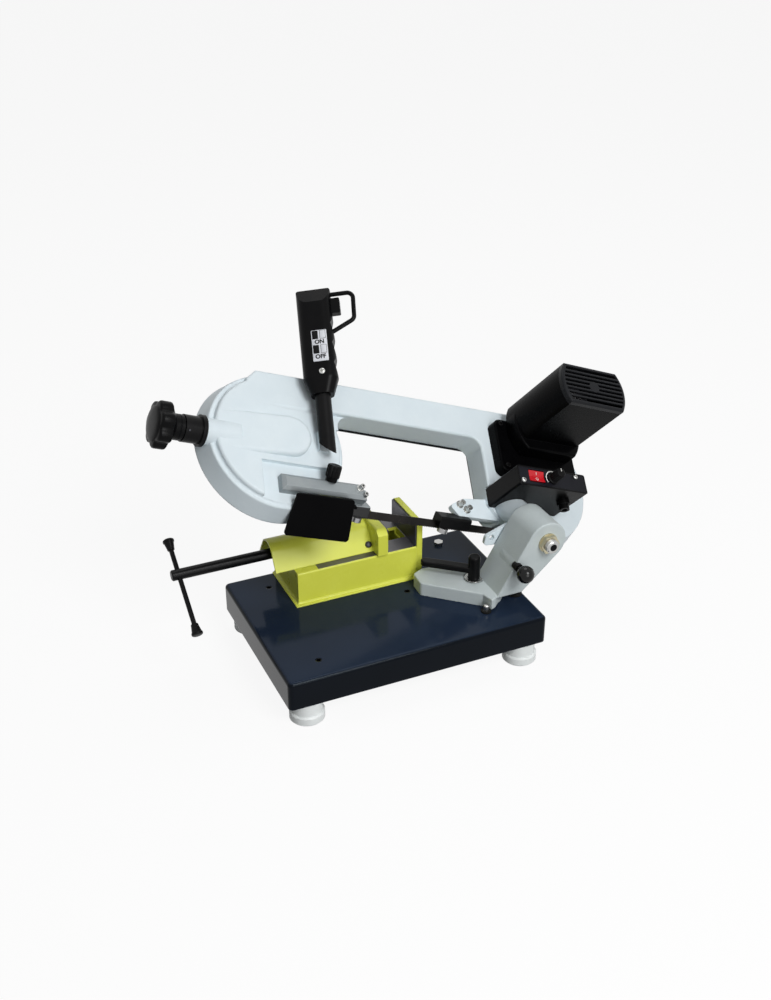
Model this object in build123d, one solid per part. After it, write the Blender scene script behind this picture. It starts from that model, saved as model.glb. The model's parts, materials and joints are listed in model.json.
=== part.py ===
from build123d import *
import os
from math import asin, atan2, cos, degrees, hypot, pi, radians, sin, sqrt

# Bench band saw for cutting metal bar and tube.
# A sheet tray on four feet carries a vise and a cast bracket that swivels for mitre cuts. The bow, a cast
# C-frame with two blade wheels and a geared motor, tilts on the bracket's hinge pin and cuts past the jaws.
# Millimetres, +Z up, +X towards the hinge end, +Y away from the operator.
# The origin is on the floor, at the middle of the four foot bores.

# Clearances
slide_gap = 0.3
run_gap = 0.05

# Tray and feet
tray_length = 400.0
tray_width = 277.0
tray_height = 43.5
tray_sheet = 2.5
tray_corner = 7.0
tray_bend = 5.5
tray_hole_diameter = 9.0
tray_hole_x = 142.0
tray_hole_y = 100.0
foot_height = 32.0
foot_diameter = 50.0
foot_top_diameter = 44.0
foot_rim_height = 12.0
foot_edge = 2.0
foot_bore = 9.0
foot_inset_x = 32.0
foot_inset_y = 20.0
corner_plate = 3.0
corner_plate_margin = 4.0
bolt_diameter = 8.0
bolt_head_height = 5.0
tray_bolt_x = 146.0
tray_bolt_y = 108.0

# Vise
bed_left = -119.0
jaw_face_x = 72.0
bed_front_y = 35.0
bed_width = 100.0
bed_height = 54.5
bed_wall = 6.0
bed_slot_width = 34.0
bed_slot_end = 14.0
jaw_width = 86.0
jaw_height = 41.0
jaw_plate = 2.5
fixed_jaw_thickness = 9.0
moving_jaw_thickness = 16.0
jaw_gap = 44.0
jaw_overhang = 4.0
jaw_bevel = 9.0
jaw_travel = 43.0
screw_diameter = 16.0
screw_height = 13.5
screw_left = -292.0
screw_seat = 9.0
nut_radius = 13.0
nut_length = 26.0
nut_x = -86.0
hood_radius = 23.0
hood_sheet = 2.0
hood_left = -147.0
hood_half_width = 36.0
bar_diameter = 7.0
bar_length = 150.0
bar_x = -281.0
bar_angle = 35.0
bar_shift = -20.0
bar_knob_diameter = 16.0
bar_knob_length = 16.0

# Swivel bracket
swivel_x = 135.0
swivel_y = -31.0
swivel_range = 45.0
swivel_foot = 21.0
stud_diameter = 12.0
stud_nut_height = 8.0
post_diameter = 18.0
post_height = 38.0
spot_diameter = 32.0
spot_depth = 1.5
lever_length = 74.0
lever_angle = 140.0
lever_height = 10.0
lever_thickness = 9.0
lever_width = 15.0
ear_back_x = 127.0
ear_back_y = -76.0
ear_left_x = 131.0
ear_left_y = -95.0
ear_right_x = 139.0
ear_right_y = -92.0
ear_lift = 4.5
ear_from_radius = 49.0
stop_head_diameter = 9.0
stop_head_height = 9.0
stop_washer_diameter = 22.0
stop_washer = 3.0
bracket_front_y = -90.0
bracket_width = 64.0
bracket_boss = 31.0
bracket_root_left = 142.0
bracket_root_right = 184.0
hinge_x = 222.0
hinge_above_tray = 93.5
hinge_pin_diameter = 20.0
hinge_nut_diameter = 30.0
hinge_nut_height = 9.0
hinge_end = 8.0
pull_x = 174.0
pull_above_tray = 64.0
pull_pin_diameter = 9.0
pull_pin_depth = 30.0
pull_ball = 26.0
pull_stem = 12.0
pull_travel = 9.0

# Bow: attitude in the picture, blade and wheels
bow_raise = 20.5
bow_tilt = 52.0
blade_length = 1440.0
blade_width = 13.0
blade_thickness = 0.65
blade_y = 15.0
twist_past_wheel = 9.0
blade_drop = 40.0
wheel_radius = 88.0
wheel_width = 15.0
wheel_rim = 7.0
wheel_web = 6.0
wheel_hub = 19.0
hub_back = 10.5
drive_past_hinge = 59.0

# Bow casting, measured from the blade plane (n), the line of wheel centres (v) and the drive wheel (x)
back_n = -14.0
lip_n = 18.0
face_n = 27.0
front_wall = 5.0
pocket_gap = 8.0
face_past_pocket = 1.0
lip_past_face = 7.0
back_past_lip = 8.0
arm_drop = 31.0
arm_rise = 18.0
arm_rise_right = 24.0
arm_left = 27.0
arm_shoulder = 16.0
arm_wall = 4.5
arm_edge = 4.0
column_left = -92.0
column_above_blade = 44.0
column_right = 36.0
column_wall = 2.6
throat_fillet = 18.0
boss_half_width = 31.0
boss_rise = 4.0
boss_n = 39.0
boss_start = -81.5
boss_end = 46.0
boss_inset = 2.0
boss_edge = 6.0
dome_edge = 5.0
lip_edge = 3.0
ring_fillet = 3.0
crease_left = -29.5
crease_right = 113.5
crease_depth = 2.5
crease_radius = 7.0
dome_inside_n = 18.3
rail_n = 10.0
rail_width = 7.0
recess_left = -32.0
recess_above_bar = 21.0
recess_n = 20.0
cover_sheet = 1.5
cover_inset = 1.0
cover_overhang = 3.0
barrel_radius = 22.0
barrel_end_y = 36.0
pin_end_y = 29.0
bush_wall = 3.0
lug_left = -160.0
lug_low = 12.0
lug_tip = 28.0
lug_high = 42.0
lug_root = 48.0
lug_back_n = 4.0
lug_thickness = 9.0
lug_front_y = -23.0
stop_lug_thickness = 6.0

# Drive
motor_x = 9.0
motor_v = 75.0
motor_width = 120.0
motor_height = 67.0
motor_wall = 3.0
collar_height = 84.0
collar_drop = 8.0
collar_length = 26.0
motor_shaft_diameter = 6.0
motor_middle_n = 110.0
motor_base_n = 46.0
motor_end_n = 181.0
grille_depth = 9.0
grille_rim = 5.0
grille_rib = 2.8
grille_slots = 8
gearbox_left = -74.0
gearbox_right = 72.0
gearbox_bottom = -6.0
gearbox_top = 86.0
gearbox_wall = 3.0
gearbox_corner = 12.0
gearbox_boss = 8.0
gear_module = 1.0
motor_pinion_teeth = 9
first_gear_teeth = 55
second_module = 1.25
second_pinion_teeth = 10
ring_gear_teeth = 64
gear_backlash = 0.35
first_gear_n = 29.0
first_gear_width = 7.0
ring_gear_width = 4.0
ring_gear_n = 8.0
axle_seat = 9.0
shaft_diameter = 8.0
drive_shaft_diameter = 17.0
rotor_diameter = 40.0
stator_length = 60.0

# Tension
tension_screw_diameter = 10.0
carriage_length = 88.0
carriage_width = 36.0
carriage_thickness = 9.5
axle_diameter = 15.0
sleeve_diameter = 38.0
sleeve_length = 30.0
sleeve_past_housing = -1.0
neck_length = 14.0
neck_diameter = 36.0
knob_diameter = 66.0
knob_length = 19.0
knob_hub_length = 6.0
knob_crown = 4.0
knob_lobes = 7

# Guides, measured along the blade from the hinge axis (s) and above the blade's middle (h)
fixed_guide_left = -124.0
fixed_guide_length = 54.0
guide_height = 17.0
guide_depth = 22.0
roller_diameter = 16.0
roller_width = 7.0
roller_pin = 5.0
bar_start = -6.5
bar_reach = 130.0
bar_above_blade = 18.0
bar_tall = 24.0
bar_thick = 16.0
bar_chamfer = 5.0
guide_outward = 12.0
head_past_bar = 119.0
head_length = 26.0
guard_length = 102.0
guard_bottom = -34.0
guard_top = 31.0
guard_y = -24.4
guard_sheet = 2.5
guard_corner = 5.0
guard_slant = 12.0
tab_length = 23.0
clamp_past_bar = 76.0
clamp_diameter = 21.0
clamp_stud = 6.0
clamp_depth = 8.0
clamp_height = 24.0

# Switch box
box_left = -92.0
box_right = 36.0
box_above_blade = 31.0
box_height = 32.0
box_front_n = 100.0
box_wall = 2.5
panel_thickness = 2.5
panel_screw_inset = 6.6
panel_screw_right = 20.0
panel_screw_diameter = 7.6
rocker_width = 28.0
rocker_height = 20.0
rocker_proud = 3.0
panel_drop = 15.0
rocker_x = -58.0
dial_x = -28.0
dial_diameter = 20.0
dial_height = 22.0
dial_shaft = 6.0

# Handle
rod_past_wheel = 66.5
rod_v = -12.0
rod_n = 41.0
rod_lean = 8.0
rod_slant = 3.2
pad_width = 15.0
pad_length = 30.0
rod_diameter = 23.0
rod_length = 225.0
rod_foot_side = 0.4
rod_foot_front = 0.85
grip_turn = 36.0
grip_start = 78.0
grip_length = 164.0
grip_width = 50.0
grip_depth = 38.0
grip_collar = 33.0
grip_taper = 24.0
grip_slope_height = 27.0
grip_slope_depth = 15.0
finger_first = 45.0
finger_pitch = 30.5
finger_depth = 3.3
finger_rise = 8.0
trigger_t = 212.5
trigger_length = 23.5
trigger_width = 12.0
trigger_reach = 13.4
trigger_travel = 4.0
guard_wire = 6.5
guard_reach = 32.5
guard_below_top = 9.5
guard_bend_drop = 42.0
guard_foot_drop = 59.5

# Worked-out levels and axes
tray_bottom_z = foot_height
tray_top_z = foot_height + tray_height
bed_top_z = tray_top_z + bed_height
foot_x = tray_length / 2 - foot_inset_x
foot_y = tray_width / 2 - foot_inset_y
bed_back_y = bed_front_y + bed_width
screw_y = bed_front_y + bed_width / 2
screw_z = bed_top_z + screw_height
moving_face_x = jaw_face_x - jaw_plate - jaw_gap
bracket_back_y = bracket_front_y + bracket_width
hinge_z = tray_top_z + hinge_above_tray
wheel_distance = (blade_length - 2 * pi * wheel_radius) / 2
tension_x = -wheel_distance
tilt = radians(bow_tilt)
raise_angle = radians(bow_raise)

# The blade frame has x along the blade towards the hinge, y away from the operator and z square to both.
along = Vector(cos(raise_angle), 0, -sin(raise_angle))
across = Vector(sin(raise_angle), 0, cos(raise_angle))
blade_frame = Plane(
    origin=Vector(hinge_x, blade_y, hinge_z) - across * blade_drop,
    x_dir=along,
    z_dir=across,
)
# The wheel frame leans back from the blade frame: x is shared, y runs up the wheels, z is the wheel axis.
wheel_axis = across * sin(tilt) - Vector(0, 1, 0) * cos(tilt)
wheel_up = across * cos(tilt) + Vector(0, 1, 0) * sin(tilt)
wheel_frame = Plane(
    origin=blade_frame.origin + along * drive_past_hinge + wheel_up * wheel_radius,
    x_dir=along,
    z_dir=wheel_axis,
)
tension_n = dome_inside_n - slide_gap - carriage_thickness / 2
pocket_radius = wheel_radius + pocket_gap
housing_face_radius = pocket_radius + face_past_pocket
housing_lip_radius = housing_face_radius + lip_past_face
housing_back_radius = housing_lip_radius + back_past_lip
sleeve_seat = tension_x - housing_back_radius - sleeve_past_housing
arm_bottom = wheel_radius - arm_drop
arm_top = wheel_radius + arm_rise
arm_top_right = wheel_radius + arm_rise_right
column_bottom = column_above_blade - wheel_radius
box_bottom = box_above_blade - wheel_radius
box_top = box_bottom + box_height
panel_v = box_top - panel_drop
raised_bottom = box_top + slide_gap
bar_v = bar_above_blade - wheel_radius
recess_top = bar_v + bar_tall / 2 + recess_above_bar
bar_left = tension_x + bar_start
head_left = bar_left + head_past_bar
clamp_x = bar_left + clamp_past_bar
guard_right = head_left + drive_past_hinge
guard_left = guard_right - guard_length
tab_left = guard_right - tab_length
rod_x = tension_x + rod_past_wheel


def in_blade_frame(shape):
    return blade_frame.location * shape


def in_wheel_frame(shape):
    return wheel_frame.location * shape


def save(node, shape):
    """Write one sub-part to its own file."""
    shape.label = node
    export_step(shape, f"parts/{node}.step")


def block(x0, x1, y0, y1, z0, z1):
    """Box between two corners."""
    return Pos((x0 + x1) / 2, (y0 + y1) / 2, (z0 + z1) / 2) * Box(x1 - x0, y1 - y0, z1 - z0)


def rod(radius, x, y, z0, z1):
    """Upright cylinder between two levels."""
    return Pos(x, y, (z0 + z1) / 2) * Cylinder(radius, z1 - z0)


def rod_x_axis(radius, x0, x1, y, z):
    """Cylinder along X."""
    return Pos((x0 + x1) / 2, y, z) * Rot(0, 90, 0) * Cylinder(radius, x1 - x0)


def rod_y_axis(radius, x, z, y0, y1):
    """Cylinder along Y."""
    return Pos(x, (y0 + y1) / 2, z) * Rot(90, 0, 0) * Cylinder(radius, y1 - y0)


def hexagon(across_flats, x, y, z0, z1):
    """Hexagonal head or nut between two levels."""
    face = Pos(x, y, z0) * RegularPolygon(across_flats / sqrt(3), 6)
    return extrude(face, z1 - z0)


def gear(module, teeth, width, bore, turn=0.0, thinning=0.0):
    """Spur gear about Z from level 0, with straight-sided teeth thinned for backlash."""
    pitch = module * teeth / 2
    tip = pitch + module
    root = pitch - 1.25 * module
    half = pi * module / 4 - thinning / 2
    points = []
    for tooth in range(teeth):
        middle = radians(turn) + 2 * pi * tooth / teeth
        flank = ((root, -half * 1.45), (tip, -half * 0.55), (tip, half * 0.55), (root, half * 1.45))
        for radius, offset in flank:
            angle = middle + offset / pitch
            points.append((radius * cos(angle), radius * sin(angle)))
    outline = make_face(Polyline(*points, close=True))
    if bore:
        outline -= Circle(bore / 2)
    return extrude(outline, width)


def mesh_turn(line, teeth, other_teeth):
    """Turn of a gear, in degrees, so that one of its gaps meets a tooth of the other between the centres."""
    share = line * other_teeth / 360.0
    return line + 180.0 - (0.5 - share) * 360.0 / teeth


# Tray
def base_tray():
    x, y = tray_length / 2, tray_width / 2
    outside = block(-x, x, -y, y, tray_bottom_z, tray_top_z)
    outside = fillet(outside.edges().filter_by(Axis.Z), tray_corner)
    outside = fillet(outside.faces().sort_by(Axis.Z)[-1].edges(), tray_bend)
    t = tray_sheet
    inside = block(-x + t, x - t, -y + t, y - t, tray_bottom_z, tray_top_z - t)
    inside = fillet(inside.edges().filter_by(Axis.Z), tray_corner - t)
    tray = outside - inside
    reach_x = foot_inset_x + foot_top_diameter / 2 + corner_plate_margin
    reach_y = foot_inset_y + foot_top_diameter / 2 + corner_plate_margin
    for sx in (-1, 1):
        for sy in (-1, 1):
            plate = block(x - reach_x, x - t / 2, y - reach_y, y - t / 2, 0, corner_plate)
            corner = plate.edges().filter_by(Axis.Z).sort_by(lambda e: e.center().X + e.center().Y)[-1]
            plate = fillet(corner, tray_corner - t / 2)
            if sx < 0:
                plate = mirror(plate, Plane.YZ)
            if sy < 0:
                plate = mirror(plate, Plane.XZ)
            tray += Pos(0, 0, tray_bottom_z) * plate
            z1 = tray_bottom_z + corner_plate + 1
            tray -= rod(foot_bore / 2, sx * foot_x, sy * foot_y, tray_bottom_z - 1, z1)
    for hx, hy in ((-tray_hole_x, tray_hole_y), (-tray_hole_x, -tray_hole_y), (swivel_x - 92, 6.0)):
        tray -= rod(tray_hole_diameter / 2, hx, hy, tray_top_z - 2 * t, tray_top_z + 1)
    tray -= rod(bolt_diameter / 2, tray_bolt_x, tray_bolt_y, tray_top_z - 2 * t, tray_top_z + 1)
    tray -= rod(stud_diameter / 2, swivel_x, swivel_y, tray_top_z - 2 * t, tray_top_z + 1)
    for sx, sy in (stop_position(1), stop_position(2)):
        tray -= rod(stop_head_diameter / 4, sx, sy, tray_top_z - 2 * t, tray_top_z + 1)
    return tray


def stop_position(which):
    """Plan position of the stop bolt met by the ear at 0 (1) or at full swivel (2)."""
    reach = stop_head_diameter / 2 + slide_gap
    if which == 1:
        dx, dy = ear_left_x - ear_back_x, ear_left_y - ear_back_y
        length = hypot(dx, dy)
        mx, my = ear_back_x + 0.7 * dx, ear_back_y + 0.7 * dy
        return mx + reach * dy / length, my - reach * dx / length
    dx, dy = ear_right_x - swivel_x, ear_right_y - swivel_y
    angle = atan2(dy, dx) + radians(swivel_range)
    radius = hypot(dx, dy)
    tx, ty = swivel_x + radius * cos(angle), swivel_y + radius * sin(angle)
    return tx - 1.6 * reach * sin(angle), ty + 1.6 * reach * cos(angle)


def feet():
    profile = Polyline(
        (foot_bore / 2, 0),
        (foot_diameter / 2 - foot_edge, 0),
        (foot_diameter / 2, foot_edge),
        (foot_diameter / 2, foot_rim_height),
        (foot_diameter / 2 - foot_edge, foot_rim_height + foot_edge),
        (foot_top_diameter / 2, foot_rim_height + foot_edge),
        (foot_top_diameter / 2, foot_height),
        (foot_bore / 2, foot_height),
        close=True,
    )
    foot = revolve(Plane.XZ * make_face(profile), Axis.Z)
    places = [(sx * foot_x, sy * foot_y) for sx in (-1, 1) for sy in (-1, 1)]
    return Compound([Pos(px, py, 0) * foot for px, py in places])


def tray_bolt():
    shank = rod(bolt_diameter / 2 - slide_gap, tray_bolt_x, tray_bolt_y, tray_top_z - 14, tray_top_z)
    head = hexagon(1.6 * bolt_diameter, tray_bolt_x, tray_bolt_y, tray_top_z, tray_top_z + bolt_head_height)
    return shank + head


def stop_bolts():
    solids = []
    for which in (1, 2):
        sx, sy = stop_position(which)
        shank = rod(stop_head_diameter / 4 - slide_gap / 2, sx, sy, tray_top_z - 10, tray_top_z + stop_washer)
        z0 = tray_top_z + stop_washer
        head = rod(stop_head_diameter / 2, sx, sy, z0, z0 + stop_head_height)
        head = fillet(head.edges().sort_by(Axis.Z)[-1], stop_head_diameter / 4)
        solids.append(shank + head)
    return Compound(solids)


def stop_washers():
    solids = []
    for which, diameter in ((1, stop_head_diameter * 1.7), (2, stop_washer_diameter)):
        sx, sy = stop_position(which)
        disc = rod(diameter / 2, sx, sy, tray_top_z, tray_top_z + stop_washer)
        disc = fillet(disc.edges().sort_by(Axis.Z)[-1], stop_washer / 3)
        hole = rod(stop_head_diameter / 4, sx, sy, tray_top_z - 1, tray_top_z + stop_washer + 1)
        solids.append(disc - hole)
    return Compound(solids)


# Vise
def vise_bed():
    bed = block(bed_left, jaw_face_x, bed_front_y, bed_back_y, tray_top_z, bed_top_z)
    bed = fillet(bed.edges().filter_by(Axis.X).group_by(Axis.Z)[-1], bed_wall / 2)
    w = bed_wall
    bed -= block(bed_left + w, jaw_face_x - w, bed_front_y + w, bed_back_y - w, tray_top_z - 1, bed_top_z - w)
    slot_left = nut_x + nut_length / 2 + bed_slot_end
    slot_right = moving_face_x + jaw_travel
    half = bed_slot_width / 2
    y0, y1 = screw_y - half, screw_y + half
    return bed - block(slot_left, slot_right, y0, y1, bed_top_z - 2 * w, bed_top_z + 1)


def fixed_jaw():
    y0, y1 = bed_front_y, bed_front_y + jaw_width
    x1 = jaw_face_x + fixed_jaw_thickness
    jaw = block(jaw_face_x, x1, y0, y1, tray_top_z, bed_top_z + jaw_height)
    corners = jaw.edges().filter_by(Axis.X).group_by(Axis.Z)[-1]
    jaw = fillet(corners, 5.0)
    foot_x1 = jaw_face_x + 3 * fixed_jaw_thickness
    foot = block(jaw_face_x, foot_x1, y0 + 40, y1, tray_top_z, tray_top_z + 8)
    web = make_face(Polyline((0, 0), (2 * fixed_jaw_thickness, 0), (0, bed_height), close=True))
    web = Pos(x1, y1 - 12, tray_top_z + 8) * Rot(90, 0, 0) * web
    return jaw + foot + extrude(web, 8)


def jaw_face(x0):
    """Hardened face plate of one jaw, with its left face at x0."""
    y0 = bed_front_y + 1
    z0, z1 = bed_top_z + slide_gap, bed_top_z + jaw_height - 2
    plate = block(x0, x0 + jaw_plate, y0, y0 + jaw_width - 2, z0, z1)
    return fillet(plate.edges().filter_by(Axis.X), 2.0)


def moving_jaw():
    x1 = moving_face_x - jaw_plate
    x0 = x1 - moving_jaw_thickness
    y0 = bed_front_y - jaw_overhang
    y1 = bed_front_y + jaw_width
    z0, z1 = bed_top_z + slide_gap, bed_top_z + jaw_height + 2
    jaw = block(x0, x1, y0, y1, z0, z1)
    top = jaw.faces().sort_by(Axis.Z)[-1]
    jaw = chamfer(top.edges().sort_by(Axis.Y)[0], jaw_bevel)
    jaw = fillet(jaw.faces().sort_by(Axis.Z)[-1].edges().filter_by(Axis.Y), 3.0)
    half = bed_slot_width / 2 - slide_gap
    key = block(x0, x1, screw_y - half, screw_y + half, bed_top_z - bed_wall, bed_top_z + slide_gap)
    jaw += key
    bore = screw_diameter / 2 + run_gap
    return jaw - rod_x_axis(bore, x0 - 1, x0 + screw_seat, screw_y, screw_z)


def hood_section(radius, half_width):
    """Tunnel section about the screw axis: a round top running down tangent sides to a wider foot."""
    drop = screw_height - slide_gap
    angle = atan2(half_width, drop) - asin(radius / hypot(half_width, drop))
    px, pz = radius * cos(angle), radius * sin(angle)
    outline = Polyline((-px, pz), (-half_width, -drop), (half_width, -drop), (px, pz))
    top = ThreePointArc((px, pz), (0, radius), (-px, pz))
    return make_face(Curve() + outline + top)


def vise_hood():
    x1 = moving_face_x - jaw_plate - moving_jaw_thickness
    shell = hood_section(hood_radius, hood_half_width)
    inside = hood_section(hood_radius - hood_sheet, hood_half_width - 1.6 * hood_sheet)
    section = Plane(origin=(hood_left, screw_y, screw_z), x_dir=(0, 1, 0), z_dir=(1, 0, 0)) * (shell - inside)
    return extrude(section, x1 - hood_left)


def vise_nut():
    x0, x1 = nut_x - nut_length / 2, nut_x + nut_length / 2
    nut = rod_x_axis(nut_radius, x0, x1, screw_y, screw_z)
    nut += block(x0, x1, screw_y - nut_radius, screw_y + nut_radius, bed_top_z, screw_z)
    return nut - rod_x_axis(screw_diameter / 2 + run_gap, x0 - 1, x1 + 1, screw_y, screw_z)


def bar_axis():
    return Pos(bar_x, screw_y, screw_z) * Rot(bar_angle - 90, 0, 0)


def vise_screw():
    x1 = moving_face_x - jaw_plate - moving_jaw_thickness + screw_seat - slide_gap
    screw = rod_x_axis(screw_diameter / 2, screw_left, x1, screw_y, screw_z)
    screw = chamfer(screw.edges().sort_by(Axis.X)[0], 1.5)
    return screw - bar_axis() * Cylinder(bar_diameter / 2 + run_gap, 2 * screw_diameter)


def cross_bar():
    bar = bar_axis() * Pos(0, 0, bar_shift) * Cylinder(bar_diameter / 2, bar_length)
    for end in (-1, 1):
        knob = Cone(bar_knob_diameter / 2 - 3, bar_knob_diameter / 2, bar_knob_length)
        knob = fillet(knob.edges().sort_by(Axis.Z)[-1], 2.0)
        place = Pos(0, 0, bar_shift + end * (bar_length - bar_knob_length) / 2)
        bar += bar_axis() * place * (Rot(0, 0, 0) if end > 0 else Rot(180, 0, 0)) * knob
    return bar


# Swivel
def swivel_bracket():
    points = (
        (58, 17),
        (56, -12),
        (ear_back_x, ear_back_y),
        (ear_left_x, ear_left_y),
        (ear_right_x, ear_right_y),
        (170, -62),
        (172, -30),
        (140, 8),
        (116, 20),
        (76, 25),
    )
    foot = make_face(Polyline(*points, close=True))
    soft = [p for p in foot.vertices() if p.Y > -70]
    foot = fillet(soft, 7.0)
    foot = extrude(Pos(0, 0, tray_top_z) * foot, swivel_foot)
    foot = fillet(foot.edges().group_by(Axis.Z)[-1], 2.0)
    y0, y1 = swivel_y - 80, swivel_y - 25
    under = block(swivel_x - 30, swivel_x + 60, y0, y1, tray_top_z - 1, tray_top_z + ear_lift)
    foot -= under - rod(ear_from_radius, swivel_x, swivel_y, tray_top_z - 2, tray_top_z + 40)
    root_z = tray_top_z + swivel_foot - 4
    root = Line((bracket_root_left, root_z), (bracket_root_right, root_z))
    boss = Pos(hinge_x, hinge_z) * CenterArc((0, 0), bracket_boss, 0, 360)
    arm = make_hull([root.edges()[0], boss.edges()[0]])
    arm = Plane(origin=(0, bracket_back_y, 0), x_dir=(1, 0, 0), z_dir=(0, -1, 0)) * arm
    arm = extrude(arm, bracket_width)
    arm = fillet(arm.faces().sort_by(Axis.Y)[0].edges(), 2.5)
    foot_top = tray_top_z + swivel_foot
    spot = rod(spot_diameter / 2, swivel_x, swivel_y, foot_top - spot_depth, foot_top + 1)
    foot -= spot - rod(post_diameter / 2 + 1, swivel_x, swivel_y, foot_top - 5, foot_top + 5)
    bracket = foot + arm
    bracket -= rod(stud_diameter / 2 + run_gap, swivel_x, swivel_y, tray_top_z - 1, foot_top + 1)
    bracket -= rod_y_axis(hinge_pin_diameter / 2, hinge_x, hinge_z, bracket_front_y - 1, bracket_back_y + 1)
    pull_z = tray_top_z + pull_above_tray
    bore = pull_pin_diameter / 2 + run_gap
    bore_y1 = bracket_front_y + pull_pin_depth + pull_travel
    bracket -= rod_y_axis(bore, pull_x, pull_z, bracket_front_y - 1, bore_y1)
    return bracket


def swivel_stud():
    z1 = tray_top_z + swivel_foot + post_height / 2
    stud = rod(stud_diameter / 2, swivel_x, swivel_y, tray_top_z - 22, z1)
    top = tray_top_z - tray_sheet
    return stud + hexagon(1.6 * stud_diameter, swivel_x, swivel_y, top - stud_nut_height, top)


def lock_lever():
    z0 = tray_top_z + swivel_foot + slide_gap
    post = rod(post_diameter / 2, swivel_x, swivel_y, z0, z0 + post_height)
    post = fillet(post.edges().sort_by(Axis.Z)[-1], 3.0)
    arm = SlotCenterToCenter(lever_length, lever_width)
    arm = extrude(arm, lever_thickness)
    arm = fillet(arm.edges().group_by(Axis.Z)[-1] + arm.edges().group_by(Axis.Z)[0], 2.0)
    arm = Rot(0, 0, lever_angle) * Pos(lever_length / 2, 0, 0) * arm
    arm = Pos(swivel_x, swivel_y, z0 + lever_height) * arm
    lever = post + arm
    bore_z1 = tray_top_z + swivel_foot + post_height / 2 + 1
    bore = rod(stud_diameter / 2 + run_gap, swivel_x, swivel_y, z0 - 1, bore_z1)
    return lever - bore


def pull_pin():
    z = tray_top_z + pull_above_tray
    tip = bracket_front_y + pull_pin_depth
    ball_y = bracket_front_y - pull_stem - pull_ball / 2 + 2
    pin = rod_y_axis(pull_pin_diameter / 2, pull_x, z, ball_y, tip)
    return pin + Pos(pull_x, ball_y, z) * Sphere(pull_ball / 2)


def hinge_pin():
    front = bracket_front_y - hinge_nut_height - hinge_end
    pin = rod_y_axis(hinge_pin_diameter / 2, hinge_x, hinge_z, front, pin_end_y)
    return chamfer(pin.edges().sort_by(Axis.Y)[0], 1.5)


def hinge_nut():
    y1 = bracket_front_y
    washer = rod_y_axis(hinge_nut_diameter / 2, hinge_x, hinge_z, y1 - 2, y1)
    face = RegularPolygon(hinge_nut_diameter / 2, 6)
    nut = Plane(origin=(hinge_x, y1 - 2, hinge_z), x_dir=(1, 0, 0), z_dir=(0, -1, 0)) * face
    nut = extrude(nut, hinge_nut_height - 2)
    return washer + nut - rod_y_axis(hinge_pin_diameter / 2, hinge_x, hinge_z, y1 - 30, y1 + 1)


# Bow casting
def bow_profile(right, bottom):
    """Outline of arm and column in one piece, with a rounded throat corner."""
    left = tension_x - arm_left
    outline = make_face(Polyline(
        (left - arm_shoulder, arm_top - arm_shoulder),
        (left, arm_top),
        (0, arm_top_right),
        (right, arm_top_right),
        (right, bottom),
        (column_left, bottom),
        (column_left, arm_bottom),
        (left - arm_shoulder, arm_bottom),
        close=True,
    ))
    corner = outline.vertices().sort_by_distance((column_left, arm_bottom, 0))[0]
    return fillet([corner], throat_fillet)


def throat_web():
    """Fill of the corner where the arm's lower edge runs into the tension housing."""
    radius = (housing_lip_radius + housing_back_radius) / 2
    cy = arm_bottom - throat_fillet
    cx = sqrt((radius + throat_fillet) ** 2 - cy ** 2)
    scale = radius / (radius + throat_fillet)
    web = make_face(Polyline(
        (cx - 50, arm_bottom + 2),
        (cx, arm_bottom + 2),
        (cx, cy),
        (cx * scale - 4, cy * scale),
        (cx - 50, cy * scale),
        close=True,
    ))
    return Pos(tension_x, 0) * (web - Pos(cx, cy) * Circle(throat_fillet))


def hinge_axis_rod(radius, y0, y1):
    """Cylinder on the hinge axis between two world levels of Y, in the wheel frame."""
    return wheel_frame.location.inverse() * rod_y_axis(radius, hinge_x, hinge_z, y0, y1)


def handle_axis():
    """Frame of the handle rod: z runs up the rod, x along the bow."""
    lean, slant = radians(rod_lean), radians(rod_slant)
    up = Vector(-sin(slant), cos(slant) * cos(lean), cos(slant) * sin(lean))
    side = Vector(cos(slant), sin(slant) * cos(lean), sin(slant) * sin(lean))
    return Plane(origin=(rod_x, rod_v, rod_n), x_dir=side, z_dir=up).location


def grip_axis():
    """Frame of the grip: the rod's, turned on the rod so that x points the way the trigger does."""
    return handle_axis() * Rot(0, 0, -grip_turn)


def housing(face_radius):
    """Cast wheel housing turned about the wheel axis: skirt, rounded lip, hollow ring and flat face."""
    section = make_face(Polyline(
        (0, back_n),
        (housing_back_radius, back_n),
        (housing_lip_radius, lip_n),
        (face_radius, lip_n),
        (face_radius, face_n),
        (0, face_n),
        close=True,
    ))
    section = fillet(section.vertices().sort_by_distance((housing_lip_radius, lip_n, 0))[0], lip_edge)
    section = fillet(section.vertices().sort_by_distance((face_radius, lip_n, 0))[0], ring_fillet)
    section = fillet(section.vertices().sort_by_distance((face_radius, face_n, 0))[0], dome_edge)
    return revolve(Plane.XZ * section, Axis.Z)


def crease():
    """Tapering hollow along the arm's lower edge, running out on the face of the tension housing."""
    level = arm_bottom - arm_edge
    start = Vector(tension_x + crease_left, level, face_n + crease_radius)
    end = Vector(tension_x + crease_right, level, face_n + crease_radius - crease_depth)
    line = Plane(origin=start, z_dir=end - start)
    length = (end - start).length
    return line.location * rod(crease_radius, 0, 0, 0, length)


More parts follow.
